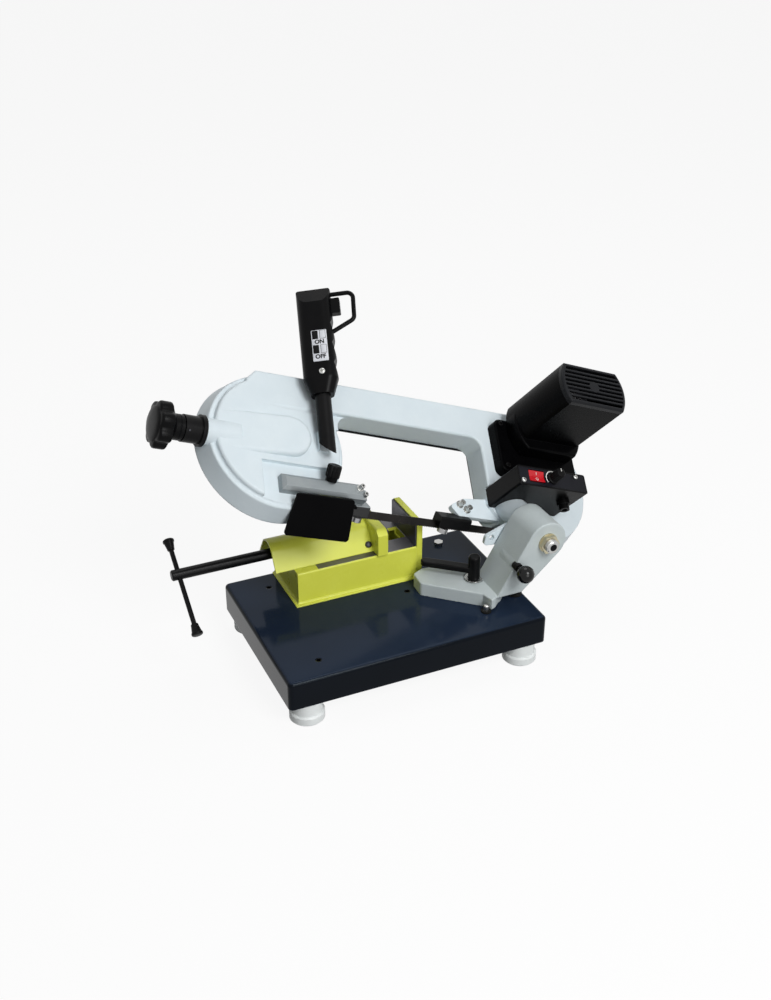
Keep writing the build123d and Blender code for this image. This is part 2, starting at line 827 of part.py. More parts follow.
def bow_casting():
    depth = lip_n - back_n
    flare = Pos(0, 0, back_n + depth / 2) * Cone(housing_back_radius, housing_lip_radius, depth)
    body = flare - block(-300, column_left, -300, 300, -50, 50)
    body += Pos(tension_x, 0, 0) * housing(housing_face_radius)
    body += tension_boss()
    body += extrude(Pos(0, 0, back_n) * bow_profile(column_right, column_bottom), depth)
    body += extrude(Pos(0, 0, back_n) * throat_web(), depth)
    raised = extrude(Pos(0, 0, lip_n - 2) * bow_profile(gearbox_right, raised_bottom), face_n - lip_n + 2)
    raised &= rod(housing_lip_radius + 2, 0, 0, 0, 60) + block(-900, column_right, -200, 200, 0, 60)
    body += fillet(raised.faces().sort_by(Axis.Z)[-1].edges(), arm_edge)
    body -= crease()
    body -= block(tension_x + recess_left, tension_x + 200, -200, recess_top, recess_n, face_n + 40)
    body += guide_lug()
    body += handle_pad()
    body += stop_lug()
    body += hinge_axis_rod(barrel_radius, bracket_back_y + slide_gap, barrel_end_y)
    body -= bow_hollow()
    return body


def tension_boss():
    """Long pill over the tension slide, rising from the face, and the boss that takes the tension screw."""
    left = tension_x - housing_face_radius
    right = tension_x + boss_end - boss_half_width
    pill = Pos((left + right) / 2, boss_rise) * SlotCenterToCenter(right - left, 2 * boss_half_width)
    pill = extrude(Pos(0, 0, lip_n) * pill, 2 * (boss_n - lip_n))
    pill &= rod(housing_face_radius - boss_inset, tension_x, 0, 0, 2 * boss_n)
    slope = (boss_n - face_n) / (boss_end - boss_start)
    x0, x1 = tension_x - housing_face_radius, tension_x + boss_end
    ramp = make_face(Polyline(
        (x0, face_n + slope * (x0 - tension_x - boss_start)),
        (x1, boss_n),
        (x1, lip_n),
        (x0, lip_n),
        close=True,
    ))
    pill &= extrude(Plane.XZ * ramp, 2 * boss_half_width, both=True)
    pill = fillet(pill.faces().sort_by(Axis.Z)[-1].edges(), boss_edge)
    return pill + rod_x_axis(sleeve_diameter / 2, sleeve_seat, tension_x - 60, 0, tension_n)


def guide_lug():
    """Plate at the foot of the column that carries the fixed guide."""
    blade_v = -wheel_radius
    points = (
        (lug_left, blade_v + lug_tip),
        (lug_left + 26, blade_v + lug_high),
        (column_left + 20, blade_v + lug_root),
        (column_left + 20, blade_v + lug_low),
        (lug_left + 14, blade_v + lug_low),
    )
    lug = make_face(Polyline(*points, close=True))
    lug = fillet(lug.vertices().sort_by(Axis.X)[0:2], 5.0)
    return extrude(Pos(0, 0, lug_back_n) * lug, lug_thickness)


def handle_pad():
    """Pad on the tension housing that the foot of the handle rod is bolted to."""
    pad = block(rod_x - pad_width / 2, rod_x + pad_width / 2, rod_v, rod_v + pad_length, lip_n - 4, rod_n)
    return pad - handle_axis() * rod(rod_diameter / 2, 0, 0, -40, 100)


def stop_lug():
    """Flat lug on the hinge barrel with a hole for the travel stop."""
    corners = ((-68, -26), (-65, -11), (-30, 1), (-12, 1), (-12, -18), (-44, -29))
    plate = make_face(Polyline(*corners, close=True))
    plate = fillet(plate.vertices().sort_by(Axis.X)[0:2], 5.0)
    plate -= Pos(-55, -15) * Circle(4)
    plate = Plane(origin=(hinge_x, lug_front_y, hinge_z), x_dir=(1, 0, 0), z_dir=(0, -1, 0)) * plate
    return wheel_frame.location.inverse() * extrude(plate, -stop_lug_thickness)


def bow_hollow():
    """Space inside the casting: wheel pockets, blade channel, tension slide and shaft bores."""
    floor_n = lip_n - front_wall
    hollow = rod(pocket_radius, tension_x, 0, back_n - 1, floor_n)
    hollow += rod(pocket_radius - 12, tension_x, 0, back_n - 1, dome_inside_n)
    hollow -= slide_rails()
    pocket = rod(pocket_radius, 0, 0, back_n - 1, floor_n)
    hollow += pocket - block(-300, column_left + column_wall, -300, 300, back_n - 2, floor_n + 1)
    v0, v1 = arm_bottom + arm_wall, arm_top - arm_wall
    hollow += block(tension_x, 0, v0, v1, back_n - 1, face_n - front_wall - 1)
    reach = blade_width / 2 + 3
    for x0, x1 in ((tension_x, tension_x + 100), (-130, 0)):
        hollow += block(x0, x1, -wheel_radius - 8, -wheel_radius + 9, back_n - 1, reach)
    hollow += rod_x_axis(tension_screw_diameter / 2 + slide_gap, sleeve_seat - 1, tension_x, 0, tension_n)
    hollow += rod(drive_shaft_diameter / 2, 0, 0, back_n, floor_n + axle_seat)
    sx, sv = counter_shaft()
    hollow += rod(shaft_diameter / 2 + run_gap, sx, sv, 0, 60)
    hollow += hinge_axis_rod(hinge_pin_diameter / 2 + bush_wall, bracket_back_y - 1, pin_end_y + slide_gap)
    return hollow


def slide_rails():
    """Two rails inside the tension housing that guide the wheel carriage."""
    inner = carriage_width / 2 + slide_gap
    rails = []
    for side in (-1, 1):
        y0, y1 = sorted((side * inner, side * (inner + rail_width)))
        rails.append(block(tension_x - 200, tension_x + 60, y0, y1, rail_n, dome_inside_n + 1))
    return rails[0] + rails[1]


def counter_shaft():
    """Place of the middle gear shaft, meshing with the ring gear and the motor pinion."""
    a = second_module * (second_pinion_teeth + ring_gear_teeth) / 2
    b = gear_module * (motor_pinion_teeth + first_gear_teeth) / 2
    d = hypot(motor_x, motor_v)
    up = (a * a - b * b + d * d) / (2 * d)
    side = sqrt(a * a - up * up)
    ux, uv = motor_x / d, motor_v / d
    return up * ux - side * uv, up * uv + side * ux


def back_cover():
    outline = Circle(housing_back_radius - cover_inset)
    outline -= Pos(column_left / 2 * 3, 0) * Rectangle(-column_left, 400)
    outline += Pos(tension_x, 0) * Circle(housing_back_radius - cover_inset)
    left = tension_x - arm_left
    arm = make_face(Polyline(
        (left, arm_top - cover_inset),
        (column_right - cover_inset, arm_top - cover_inset),
        (column_right - cover_inset, 0),
        (column_left + cover_inset, 0),
        (column_left + cover_inset, arm_bottom - cover_overhang),
        (left, arm_bottom - cover_overhang),
        close=True,
    ))
    return extrude(Pos(0, 0, back_n - cover_sheet) * (outline + arm), cover_sheet)


def hinge_bush():
    y0, y1 = bracket_back_y + slide_gap, pin_end_y
    tube = rod_y_axis(hinge_pin_diameter / 2 + bush_wall, hinge_x, hinge_z, y0, y1)
    return tube - rod_y_axis(hinge_pin_diameter / 2 + run_gap, hinge_x, hinge_z, y0 - 1, y1 + 1)


# Wheels and blade
def wheel_profile(bore):
    """Half section of a blade wheel: rim, thin web and hub."""
    outer = wheel_radius - blade_thickness / 2 - slide_gap
    rim_in = outer - wheel_rim
    half = wheel_width / 2
    web = wheel_web / 2
    return make_face(Polyline(
        (bore, -hub_back),
        (wheel_hub, -hub_back),
        (wheel_hub, -web),
        (rim_in, -web),
        (rim_in, -half),
        (outer, -half),
        (outer, half),
        (rim_in, half),
        (rim_in, web),
        (wheel_hub, web),
        (wheel_hub, half),
        (bore, half),
        close=True,
    ))


def drive_wheel():
    wheel = revolve(Plane.XZ * wheel_profile(drive_shaft_diameter / 2 + run_gap), Axis.Z)
    bore = drive_shaft_diameter + 2 * run_gap
    ring = gear(second_module, ring_gear_teeth, ring_gear_width + 1, bore, 0.0, gear_backlash)
    return wheel + Pos(0, 0, ring_gear_n - 1) * ring


def drive_axle():
    axle = rod(drive_shaft_diameter / 2, 0, 0, -hub_back - slide_gap, lip_n - front_wall + axle_seat)
    flange = rod(drive_shaft_diameter / 2 + 4, 0, 0, -hub_back - slide_gap - 1.5, -hub_back - slide_gap)
    return axle + flange


def tension_wheel():
    wheel = revolve(Plane.XZ * wheel_profile(axle_diameter / 2 + run_gap), Axis.Z)
    return Pos(tension_x, 0, 0) * wheel


def tension_carriage():
    half = carriage_length / 2
    n0, n1 = tension_n - carriage_thickness / 2, tension_n + carriage_thickness / 2
    slide = block(tension_x - half, tension_x + half, -carriage_width / 2, carriage_width / 2, n0, n1)
    slide += rod(axle_diameter / 2, tension_x, 0, -hub_back - slide_gap, n0)
    slide += rod(axle_diameter / 2 + 4, tension_x, 0, -hub_back - slide_gap - 1.5, -hub_back - slide_gap)
    radius = tension_screw_diameter / 2 + run_gap
    bore = rod_x_axis(radius, tension_x - half - 1, tension_x - 10, 0, tension_n)
    return slide - bore


def tension_sleeve():
    tube = rod_x_axis(sleeve_diameter / 2, sleeve_seat - sleeve_length, sleeve_seat, 0, tension_n)
    flange = rod_x_axis(sleeve_diameter / 2 + 3, sleeve_seat - 6, sleeve_seat, 0, tension_n)
    sleeve = tube + flange
    reach = sleeve_seat - sleeve_length
    return sleeve - rod_x_axis(tension_screw_diameter / 2 + run_gap, reach - 1, sleeve_seat + 1, 0, tension_n)


def tension_knob():
    face = Circle(knob_diameter / 2 - 5)
    for lobe in range(knob_lobes):
        angle = 360.0 / knob_lobes * lobe
        face += Rot(0, 0, angle) * Pos(knob_diameter / 2 - 9, 0) * Circle(9)
    head = fillet(extrude(face, knob_length).edges().group_by(Axis.Z)[-1], 3.0)
    head = Pos(0, 0, knob_hub_length) * head
    crown = Cone(knob_diameter / 2 - 9, knob_diameter / 2 - 18, knob_crown)
    head += Pos(0, 0, knob_hub_length + knob_length + knob_crown / 2) * crown
    hub = Cone(neck_diameter / 2, knob_diameter / 2 - 7, knob_hub_length)
    hub = Pos(0, 0, knob_hub_length / 2) * hub
    neck = rod(neck_diameter / 2, 0, 0, -neck_length, 0)
    x = sleeve_seat - sleeve_length - slide_gap - neck_length
    knob = Pos(x, 0, tension_n) * Rot(0, -90, 0) * (head + hub + neck)
    return knob + rod_x_axis(tension_screw_diameter / 2, x - 5, tension_x - 14, 0, tension_n)


def blade():
    """Endless blade: half turns on both wheels, a flat back run and a cutting run twisted upright."""
    w, t = blade_width, blade_thickness
    outer, inner = wheel_radius + t / 2, wheel_radius - t / 2
    ring = Circle(outer) - Circle(inner)
    right = ring & (Pos(200, 0) * Rectangle(400, 400))
    left = Pos(tension_x, 0) * (ring & (Pos(-200, 0) * Rectangle(400, 400)))
    back = Pos(tension_x / 2, wheel_radius) * Rectangle(-tension_x, t)
    loop = extrude(Pos(0, 0, -w / 2) * (right + left + back), w)
    full = 90.0 - bow_tilt
    fixed_x = fixed_guide_left + fixed_guide_length - drive_past_hinge
    sliding_x = head_left - guide_outward - 2
    start = tension_x + twist_past_wheel
    stations = ((tension_x, 0.0), (start, 0.0), (sliding_x, full), (fixed_x, full), (0.0, 0.0))
    for (x0, a0), (x1, a1) in zip(stations[:-1], stations[1:]):
        steps = 6 if a0 != a1 else 1
        sections = []
        for step in range(steps + 1):
            share = step / steps
            turn = a0 + (a1 - a0) * share
            plane = Plane(origin=(x0 + (x1 - x0) * share, -wheel_radius, 0), x_dir=(0, 1, 0), z_dir=(1, 0, 0))
            sections.append(plane * Rot(0, 0, -turn) * Rectangle(t, w))
        loop += loft(sections, ruled=True)
    return loop


# Guides
def guide_head(s0, length):
    """Guide block astride the blade, in the blade frame, with pins for its two rollers."""
    half = guide_depth / 2
    head = block(s0, s0 + length, -half, half, 0, guide_height)
    head = fillet(head.edges().filter_by(Axis.X).group_by(Axis.Z)[-1], 3.0)
    slot = blade_thickness / 2 + slide_gap
    head -= block(s0 - 1, s0 + length + 1, -slot, slot, -1, blade_width / 2 + slide_gap)
    offset = roller_offset()
    for side in (-1, 1):
        head += rod(roller_pin / 2, s0 + roller_diameter / 2 + 2, side * offset, -roller_width - 1.5, 4)
    return head


def roller_offset():
    return blade_thickness / 2 + slide_gap + roller_diameter / 2


def roller(s0, side):
    x, y = s0 + roller_diameter / 2 + 2, side * roller_offset()
    ring = rod(roller_diameter / 2, x, y, -roller_width - slide_gap, -slide_gap)
    return ring - rod(roller_pin / 2 + run_gap, x, y, -roller_width - 2, 1)


def to_blade_from_wheel(shape):
    return blade_frame.location.inverse() * wheel_frame.location * shape


def to_wheel_from_blade(shape):
    return wheel_frame.location.inverse() * blade_frame.location * shape


def fixed_guide():
    return guide_head(fixed_guide_left, fixed_guide_length) - to_blade_from_wheel(guide_lug())


def guide_screws():
    solids = []
    for x, above in ((lug_left + 18, 31), (lug_left + 29.5, 23.5)):
        v = above - wheel_radius
        shank = rod(2.5, x, v, lug_back_n + lug_thickness, lug_back_n + lug_thickness + 1)
        head = rod(4.25, x, v, lug_back_n + lug_thickness, lug_back_n + lug_thickness + 10)
        socket = rod(2.0, x, v, lug_back_n + lug_thickness + 6, lug_back_n + lug_thickness + 11)
        solids.append(shank + head - socket)
    return Compound(solids)


def guide_bar():
    """Plain bar of the sliding guide, with its front edges chamfered."""
    half = bar_tall / 2
    bar = block(bar_left, bar_left + bar_reach, bar_v - half, bar_v + half, recess_n, recess_n + bar_thick)
    return chamfer(bar.faces().sort_by(Axis.Z)[-1].edges(), bar_chamfer)


def guide_arm():
    head = to_wheel_from_blade(guide_head(head_left + drive_past_hinge, head_length))
    neck_n1 = recess_n + bar_thick - bar_chamfer
    neck = block(head_left, head_left + 14, bar_v - bar_tall / 2, bar_v + 4, recess_n - 6, neck_n1)
    slot = blade_thickness / 2 + slide_gap
    groove = to_wheel_from_blade(block(-400, 0, -slot, slot, -20, blade_width / 2 + slide_gap))
    bore = clamp_axis() * rod(clamp_stud / 2 + run_gap, 0, 0, -clamp_depth, 1)
    return guide_bar() + (neck - groove) + head - bore


def blade_guard():
    """Sheet guard beside the blade, with a tab back to the guide bar."""
    plate = make_face(Polyline(
        (guard_left, guard_bottom),
        (guard_right, guard_bottom),
        (guard_right - guard_slant, guard_top),
        (guard_left, guard_top),
        close=True,
    ))
    plate = fillet(plate.vertices(), guard_corner)
    plate = Plane(origin=(0, guard_y, 0), x_dir=(1, 0, 0), z_dir=(0, -1, 0)) * plate
    plate = extrude(plate, guard_sheet)
    tab = block(tab_left, guard_right - 4, guard_y - 1, -4, guide_height + 0.5, guide_height + 4)
    return plate + (tab - to_blade_from_wheel(guide_bar()))


def clamp_axis():
    """Frame of the clamp screw, square to the upper chamfer of the guide bar."""
    v = bar_v + bar_tall / 2 - bar_chamfer / 2
    n = recess_n + bar_thick - bar_chamfer / 2
    return Plane(origin=(clamp_x, v, n), x_dir=(1, 0, 0), z_dir=(0, 1, 1)).location


def clamp_knob():
    grip = rod(clamp_diameter / 2, 0, 0, slide_gap, slide_gap + clamp_height)
    grip = fillet(grip.edges().group_by(Axis.Z)[-1], 2.0)
    return clamp_axis() * (grip + rod(clamp_stud / 2, 0, 0, -clamp_depth + slide_gap, slide_gap))


# Drive
def gearbox_face(inset):
    """Outline of the gear case in front of the column."""
    x0, x1 = gearbox_left + inset, gearbox_right - inset
    y0, y1 = gearbox_bottom + inset, gearbox_top - inset
    face = Pos((x0 + x1) / 2, (y0 + y1) / 2) * Rectangle(x1 - x0, y1 - y0)
    return fillet(face.vertices(), gearbox_corner - inset)


def gearbox_cover():
    case = extrude(Pos(0, 0, face_n) * gearbox_face(0), motor_base_n - face_n)
    case = fillet(case.edges().group_by(Axis.Z)[-1], 3.0)
    depth = motor_base_n - gearbox_wall - face_n + 1
    case -= extrude(Pos(0, 0, face_n - 1) * gearbox_face(gearbox_wall), depth)
    sx, sv = counter_shaft()
    case += rod(shaft_diameter, sx, sv, motor_base_n - gearbox_boss, motor_base_n)
    case -= rod(shaft_diameter / 2 + run_gap, sx, sv, face_n, motor_base_n - gearbox_wall)
    return case - rod(motor_shaft_diameter / 2 + slide_gap, motor_x, motor_v, face_n, motor_base_n + 1)


def motor_face(width, height, drop, inset):
    """Motor cross section: a round body with its top and bottom flattened."""
    radius = width / 2 - inset
    face = Circle(radius) & Rectangle(width, height - 2 * inset)
    return Pos(motor_x, motor_v - drop) * face


def motor_housing():
    base = Pos(0, 0, motor_base_n)
    collar = extrude(base * motor_face(motor_width + 4, collar_height, collar_drop, 0), collar_length)
    collar = fillet(collar.edges().group_by(Axis.Z)[-1], 3.0)
    body = extrude(base * motor_face(motor_width, motor_height, 0, 0), motor_end_n - motor_base_n)
    inside = motor_face(motor_width, motor_height, 0, motor_wall)
    inside = extrude(Pos(0, 0, motor_base_n + motor_wall) * inside, 300)
    housing = collar + body - inside
    bore = motor_shaft_diameter / 2 + run_gap
    return housing - rod(bore, motor_x, motor_v, 0, motor_base_n + motor_wall + 1)


def motor_grille():
    cap = extrude(Pos(0, 0, motor_end_n) * motor_face(motor_width, motor_height, 0, 0), grille_depth)
    cap = fillet(cap.edges().group_by(Axis.Z)[-1], 3.0)
    hollow = motor_face(motor_width, motor_height, 0, motor_wall)
    hollow = extrude(Pos(0, 0, motor_end_n - 1) * hollow, grille_depth - 2)
    cap -= hollow
    opening = motor_face(motor_width, motor_height, 0, grille_rim)
    opening = extrude(Pos(0, 0, motor_end_n) * opening, 2 * grille_depth)
    pitch = (motor_height - 2 * grille_rim) / grille_slots
    for slot in range(1, grille_slots):
        v = motor_v - motor_height / 2 + grille_rim + slot * pitch
        v0, v1 = v - grille_rib / 2, v + grille_rib / 2
        opening -= block(motor_x - 90, motor_x + 90, v0, v1, motor_end_n - 1, motor_end_n + 30)
    cap -= opening
    centre = rod(9, motor_x, motor_v, motor_end_n + grille_depth - 3, motor_end_n + grille_depth)
    seat = rod(8, motor_x, motor_v, motor_end_n - 10, motor_end_n + grille_depth - 2)
    cap += centre + seat
    return cap - rod(motor_shaft_diameter / 2 + run_gap, motor_x, motor_v, motor_end_n - 11, motor_end_n)


def motor_stator():
    outer = motor_height / 2 - motor_wall
    n0 = motor_middle_n - stator_length / 2
    ring = rod(outer, motor_x, motor_v, n0, n0 + stator_length)
    return ring - rod(rotor_diameter / 2 + 2 * slide_gap, motor_x, motor_v, n0 - 1, n0 + stator_length + 1)


def motor_rotor():
    half = stator_length / 2
    core = rod(rotor_diameter / 2, motor_x, motor_v, motor_middle_n - half, motor_middle_n + half)
    core += rod(motor_shaft_diameter / 2, motor_x, motor_v, first_gear_n, motor_end_n - slide_gap)
    sx, sv = counter_shaft()
    line = degrees(atan2(motor_v - sv, motor_x - sx))
    turn = mesh_turn(line, motor_pinion_teeth, first_gear_teeth)
    pinion = gear(gear_module, motor_pinion_teeth, first_gear_width, 0, turn, gear_backlash)
    return core + Pos(motor_x, motor_v, first_gear_n) * pinion


def counter_gear():
    sx, sv = counter_shaft()
    shaft = rod(shaft_diameter / 2, 0, 0, ring_gear_n - 2, motor_base_n - gearbox_wall - slide_gap)
    large = gear(gear_module, first_gear_teeth, first_gear_width, 0, 0.0, gear_backlash)
    turn = mesh_turn(degrees(atan2(sv, sx)), second_pinion_teeth, ring_gear_teeth)
    small = gear(second_module, second_pinion_teeth, ring_gear_width, 0, turn, gear_backlash)
    return Pos(sx, sv, 0) * (shaft + Pos(0, 0, first_gear_n) * large + Pos(0, 0, ring_gear_n) * small)


# Switch box
def box_body(inset):
    """Outer or inner volume of the switch box, clear of the hinge barrel behind it."""
    v0, v1 = box_bottom + inset, box_top - inset
    body = block(box_left + inset, box_right - inset, v0, v1, lip_n + inset, box_front_n)
    return body - hinge_axis_rod(barrel_radius + slide_gap + inset, -200, 200)


def switch_box():
    outside = box_body(0)
    long_edges = outside.edges().filter_by(Axis.Z).filter_by(lambda e: e.length > 60)
    outside = fillet(long_edges, 3.0)
    return outside - box_body(box_wall)


def switch_panel():
    gap = slide_gap / 3
    i = box_wall + gap
    v0, v1 = box_bottom + i, box_top - i
    panel = block(box_left + i, box_right - i, v0, v1, box_front_n - panel_thickness, box_front_n)
    panel = fillet(panel.edges().filter_by(Axis.Z), 1.5)
    half_w, half_h = rocker_width / 2 + slide_gap, rocker_height / 2 + slide_gap
    panel -= block(rocker_x - half_w, rocker_x + half_w, panel_v - half_h, panel_v + half_h, 0, 200)
    panel -= rod(dial_shaft / 2 + run_gap, dial_x, panel_v, 0, 200)
    lower = (box_left + panel_screw_inset, box_bottom + panel_screw_inset)
    upper = (box_right - panel_screw_right, box_top - panel_screw_inset)
    for sx, sv in (lower, upper):
        panel += rod(panel_screw_diameter / 2, sx, sv, box_front_n, box_front_n + 1.5)
    return panel


def rocker_cheeks():
    """Two pivot cheeks behind the panel for the rocker."""
    cheeks = []
    for side in (-1, 1):
        x = rocker_x + side * (rocker_width / 2 + slide_gap + 1)
        n1 = box_front_n - panel_thickness
        cheek = block(x - 1, x + 1, panel_v - 4, panel_v + 4, n1 - 10, n1)
        cheeks.append(cheek - rod_x_axis(1.5 + run_gap, x - 2, x + 2, panel_v, n1 - 6))
    return Compound(cheeks)


def rocker():
    pivot_n = box_front_n - panel_thickness - 6
    half_w = rocker_width / 2
    half_h = rocker_height / 2
    radius = box_front_n + rocker_proud - pivot_n
    profile = make_face(Polyline(
        (-half_h * 0.86, radius - 2.6),
        (0, radius - 4.2),
        (half_h * 0.86, radius - 2.6),
        (half_h * 0.76, 3),
        (3, -2.6),
        (-3, -2.6),
        (-half_h * 0.76, 3),
        close=True,
    ))
    plane = Plane(origin=(rocker_x - half_w, panel_v, pivot_n), x_dir=(0, 1, 0), z_dir=(1, 0, 0))
    body = extrude(plane * profile, rocker_width)
    reach = half_w + slide_gap + 2
    return body + rod_x_axis(1.5, rocker_x - reach, rocker_x + reach, panel_v, pivot_n)


def speed_dial():
    n0 = box_front_n + slide_gap
    skirt = rod(dial_diameter / 2, dial_x, panel_v, n0, n0 + 3)
    knob = Cone(dial_diameter * 0.4, dial_diameter * 0.35, dial_height - 3)
    knob = Pos(dial_x, panel_v, n0 + 3 + (dial_height - 3) / 2) * knob
    knob = fillet(knob.edges().group_by(Axis.Z)[-1], 1.5)
    rib = block(dial_x - 1, dial_x + 1, panel_v, panel_v + dial_diameter * 0.38, n0 + 3, n0 + dial_height)
    return skirt + knob + rib + rod(dial_shaft / 2, dial_x, panel_v, box_front_n - 8, n0)


def cable_gland():
    """Screwed gland on the underside of the box for the supply lead."""
    gland = rod_y_axis(8, box_right - 22, box_front_n - 34, box_bottom - 14, box_bottom)
    gland += rod_y_axis(10, box_right - 22, box_front_n - 34, box_bottom - 6, box_bottom)
    return gland - rod_y_axis(4.5, box_right - 22, box_front_n - 34, box_bottom - 20, box_bottom - 4)


# Handle
def handle_rod():
    """Rod with its foot cut off aslant, lower in front and towards the arm."""
    stem = rod(rod_diameter / 2, 0, 0, -rod_diameter, rod_length)
    below = Plane(origin=(0, 0, 0), z_dir=(rod_foot_side, -rod_foot_front, 1)).location
    return handle_axis() * (stem - below * block(-90, 90, -90, 90, -90, 0))


def grip_section(t, width, depth):
    return Pos(0, 0, t) * RectangleRounded(width, depth, min(width, depth) * 0.42)


def grip_solid():
    """Grip with a tapered collar below and a sloping front at the top."""
    top = grip_start + grip_length
    shoulder = grip_start + grip_taper
    narrow = grip_section(grip_start, grip_collar, grip_collar - 4)
    wide = grip_section(shoulder, grip_width, grip_depth - 3)
    full = grip_section(top, grip_width, grip_depth)
    body = loft([narrow, wide], ruled=True) + loft([wide, full], ruled=True)
    body = fillet(body.faces().sort_by(Axis.Z)[-1].edges(), 4.0)
    front = -grip_depth / 2
    slope = make_face(Polyline(
        (front - 1, top - grip_slope_height),
        (front + grip_slope_depth, top + 1),
        (front - 1, top + 1),
        close=True,
    ))
    slope = Plane(origin=(-grip_width, 0, 0), x_dir=(0, 1, 0), z_dir=(1, 0, 0)) * slope
    return body - extrude(slope, 2 * grip_width)


def finger_rests():
    """Three saw-shaped hollows for the fingers, below the trigger."""
    out = grip_width / 2
    rests = []
    for k in range(3):
        t = grip_start + finger_first + finger_pitch * k
        upper = Polyline((out + 9, t + finger_rise), (out, t + finger_rise), (out - finger_depth, t))
        low_t = t - finger_pitch + finger_rise
        middle = (out - finger_depth * 0.25, (t + low_t) / 2)
        swell = ThreePointArc((out - finger_depth, t), middle, (out, low_t))
        outside = Polyline((out, low_t), (out + 9, low_t), (out + 9, t + finger_rise))
        face = make_face(Curve() + upper + swell + outside)
        rests.append(Plane(origin=(0, 40, 0), x_dir=(1, 0, 0), z_dir=(0, -1, 0)) * face)
    return Compound([extrude(face, 80) for face in rests])


def trigger_pocket(gap):
    """Room for the trigger in the side of the grip."""
    t0 = trigger_t - trigger_length / 2 - gap
    half = trigger_width / 2 + gap
    return block(rod_diameter / 2 + 2 - gap, 60, -half, half, t0, t0 + trigger_length + 2 * gap)


def grip():
    body = grip_solid() - finger_rests()
    body -= rod(rod_diameter / 2, 0, 0, 0, rod_length)
    return grip_axis() * (body - trigger_pocket(slide_gap))


def trigger():
    side = grip_width / 2 - 1
    half = trigger_width / 2
    inner = rod_diameter / 2 + 2 + trigger_travel
    t0, t1 = trigger_t - trigger_length / 2, trigger_t + trigger_length / 2
    body = block(inner, side + trigger_reach, -half, half, t0, t1)
    body = fillet(body.edges().filter_by(Axis.Y).group_by(Axis.X)[-1], 2.0)
    return grip_axis() * body


def trigger_guard():
    """Bent wire loop in front of the trigger."""
    x0 = grip_width / 2 - 4
    x1 = grip_width / 2 + guard_reach
    t1 = grip_start + grip_length - guard_below_top
    bend_t, foot_t = t1 - guard_bend_drop, t1 - guard_foot_drop
    path = Polyline((x0, 0, t1), (x1, 0, t1), (x1 - 1.5, 0, bend_t), (x0, 0, foot_t))
    path = fillet(path.vertices().filter_by(lambda p: p.X > x1 - 3), 9.0)
    start = Plane(origin=path @ 0, z_dir=path % 0)
    loop = sweep(start * Circle(guard_wire / 2), path)
    return grip_axis() * (loop - (grip_solid() - finger_rests()))


os.makedirs("parts", exist_ok=True)
save("base_tray", base_tray())
save("feet", feet())
save("tray_bolt", tray_bolt())
save("stop_bolts", stop_bolts())
save("stop_washers", stop_washers())
save("vise_bed", vise_bed())
save("fixed_jaw", fixed_jaw())
save("fixed_jaw_plate", jaw_face(jaw_face_x - jaw_plate))
save("moving_jaw", moving_jaw())
save("moving_jaw_plate", jaw_face(moving_face_x - jaw_plate))
save("vise_hood", vise_hood())
save("vise_nut", vise_nut())
save("vise_screw", vise_screw())
save("cross_bar", cross_bar())
save("swivel_bracket", swivel_bracket())
save("swivel_stud", swivel_stud())
save("lock_lever", lock_lever())
save("pull_pin", pull_pin())
save("hinge_pin", hinge_pin())
save("hinge_nut", hinge_nut())
save("bow_casting", in_wheel_frame(bow_casting()))
save("back_cover", in_wheel_frame(back_cover()))
save("hinge_bush", hinge_bush())
save("drive_wheel", in_wheel_frame(drive_wheel()))
save("drive_axle", in_wheel_frame(drive_axle()))
save("tension_wheel", in_wheel_frame(tension_wheel()))
save("tension_carriage", in_wheel_frame(tension_carriage()))
save("tension_sleeve", in_wheel_frame(tension_sleeve()))
save("tension_knob", in_wheel_frame(tension_knob()))
save("blade", in_wheel_frame(blade()))
save("fixed_guide", in_blade_frame(fixed_guide()))
save("fixed_roller_front", in_blade_frame(roller(fixed_guide_left, -1)))
save("fixed_roller_back", in_blade_frame(roller(fixed_guide_left, 1)))
save("guide_screws", in_wheel_frame(guide_screws()))
save("guide_arm", in_wheel_frame(guide_arm()))
save("sliding_roller_front", in_blade_frame(roller(head_left + drive_past_hinge, -1)))
save("sliding_roller_back", in_blade_frame(roller(head_left + drive_past_hinge, 1)))
save("blade_guard", in_blade_frame(blade_guard()))
save("clamp_knob", in_wheel_frame(clamp_knob()))
save("gearbox_cover", in_wheel_frame(gearbox_cover()))
save("motor_housing", in_wheel_frame(motor_housing()))
save("motor_grille", in_wheel_frame(motor_grille()))
save("motor_stator", in_wheel_frame(motor_stator()))
save("motor_rotor", in_wheel_frame(motor_rotor()))
save("counter_gear", in_wheel_frame(counter_gear()))
save("switch_box", in_wheel_frame(switch_box()))
save("switch_panel", in_wheel_frame(switch_panel()))
save("rocker_cheeks", in_wheel_frame(rocker_cheeks()))
save("rocker", in_wheel_frame(rocker()))
save("speed_dial", in_wheel_frame(speed_dial()))
save("cable_gland", in_wheel_frame(cable_gland()))
save("handle_rod", in_wheel_frame(handle_rod()))
save("grip", in_wheel_frame(grip()))
save("trigger", in_wheel_frame(trigger()))
save("trigger_guard", in_wheel_frame(trigger_guard()))
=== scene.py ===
import json
import bpy
import numpy as np
from mathutils import Matrix, Vector


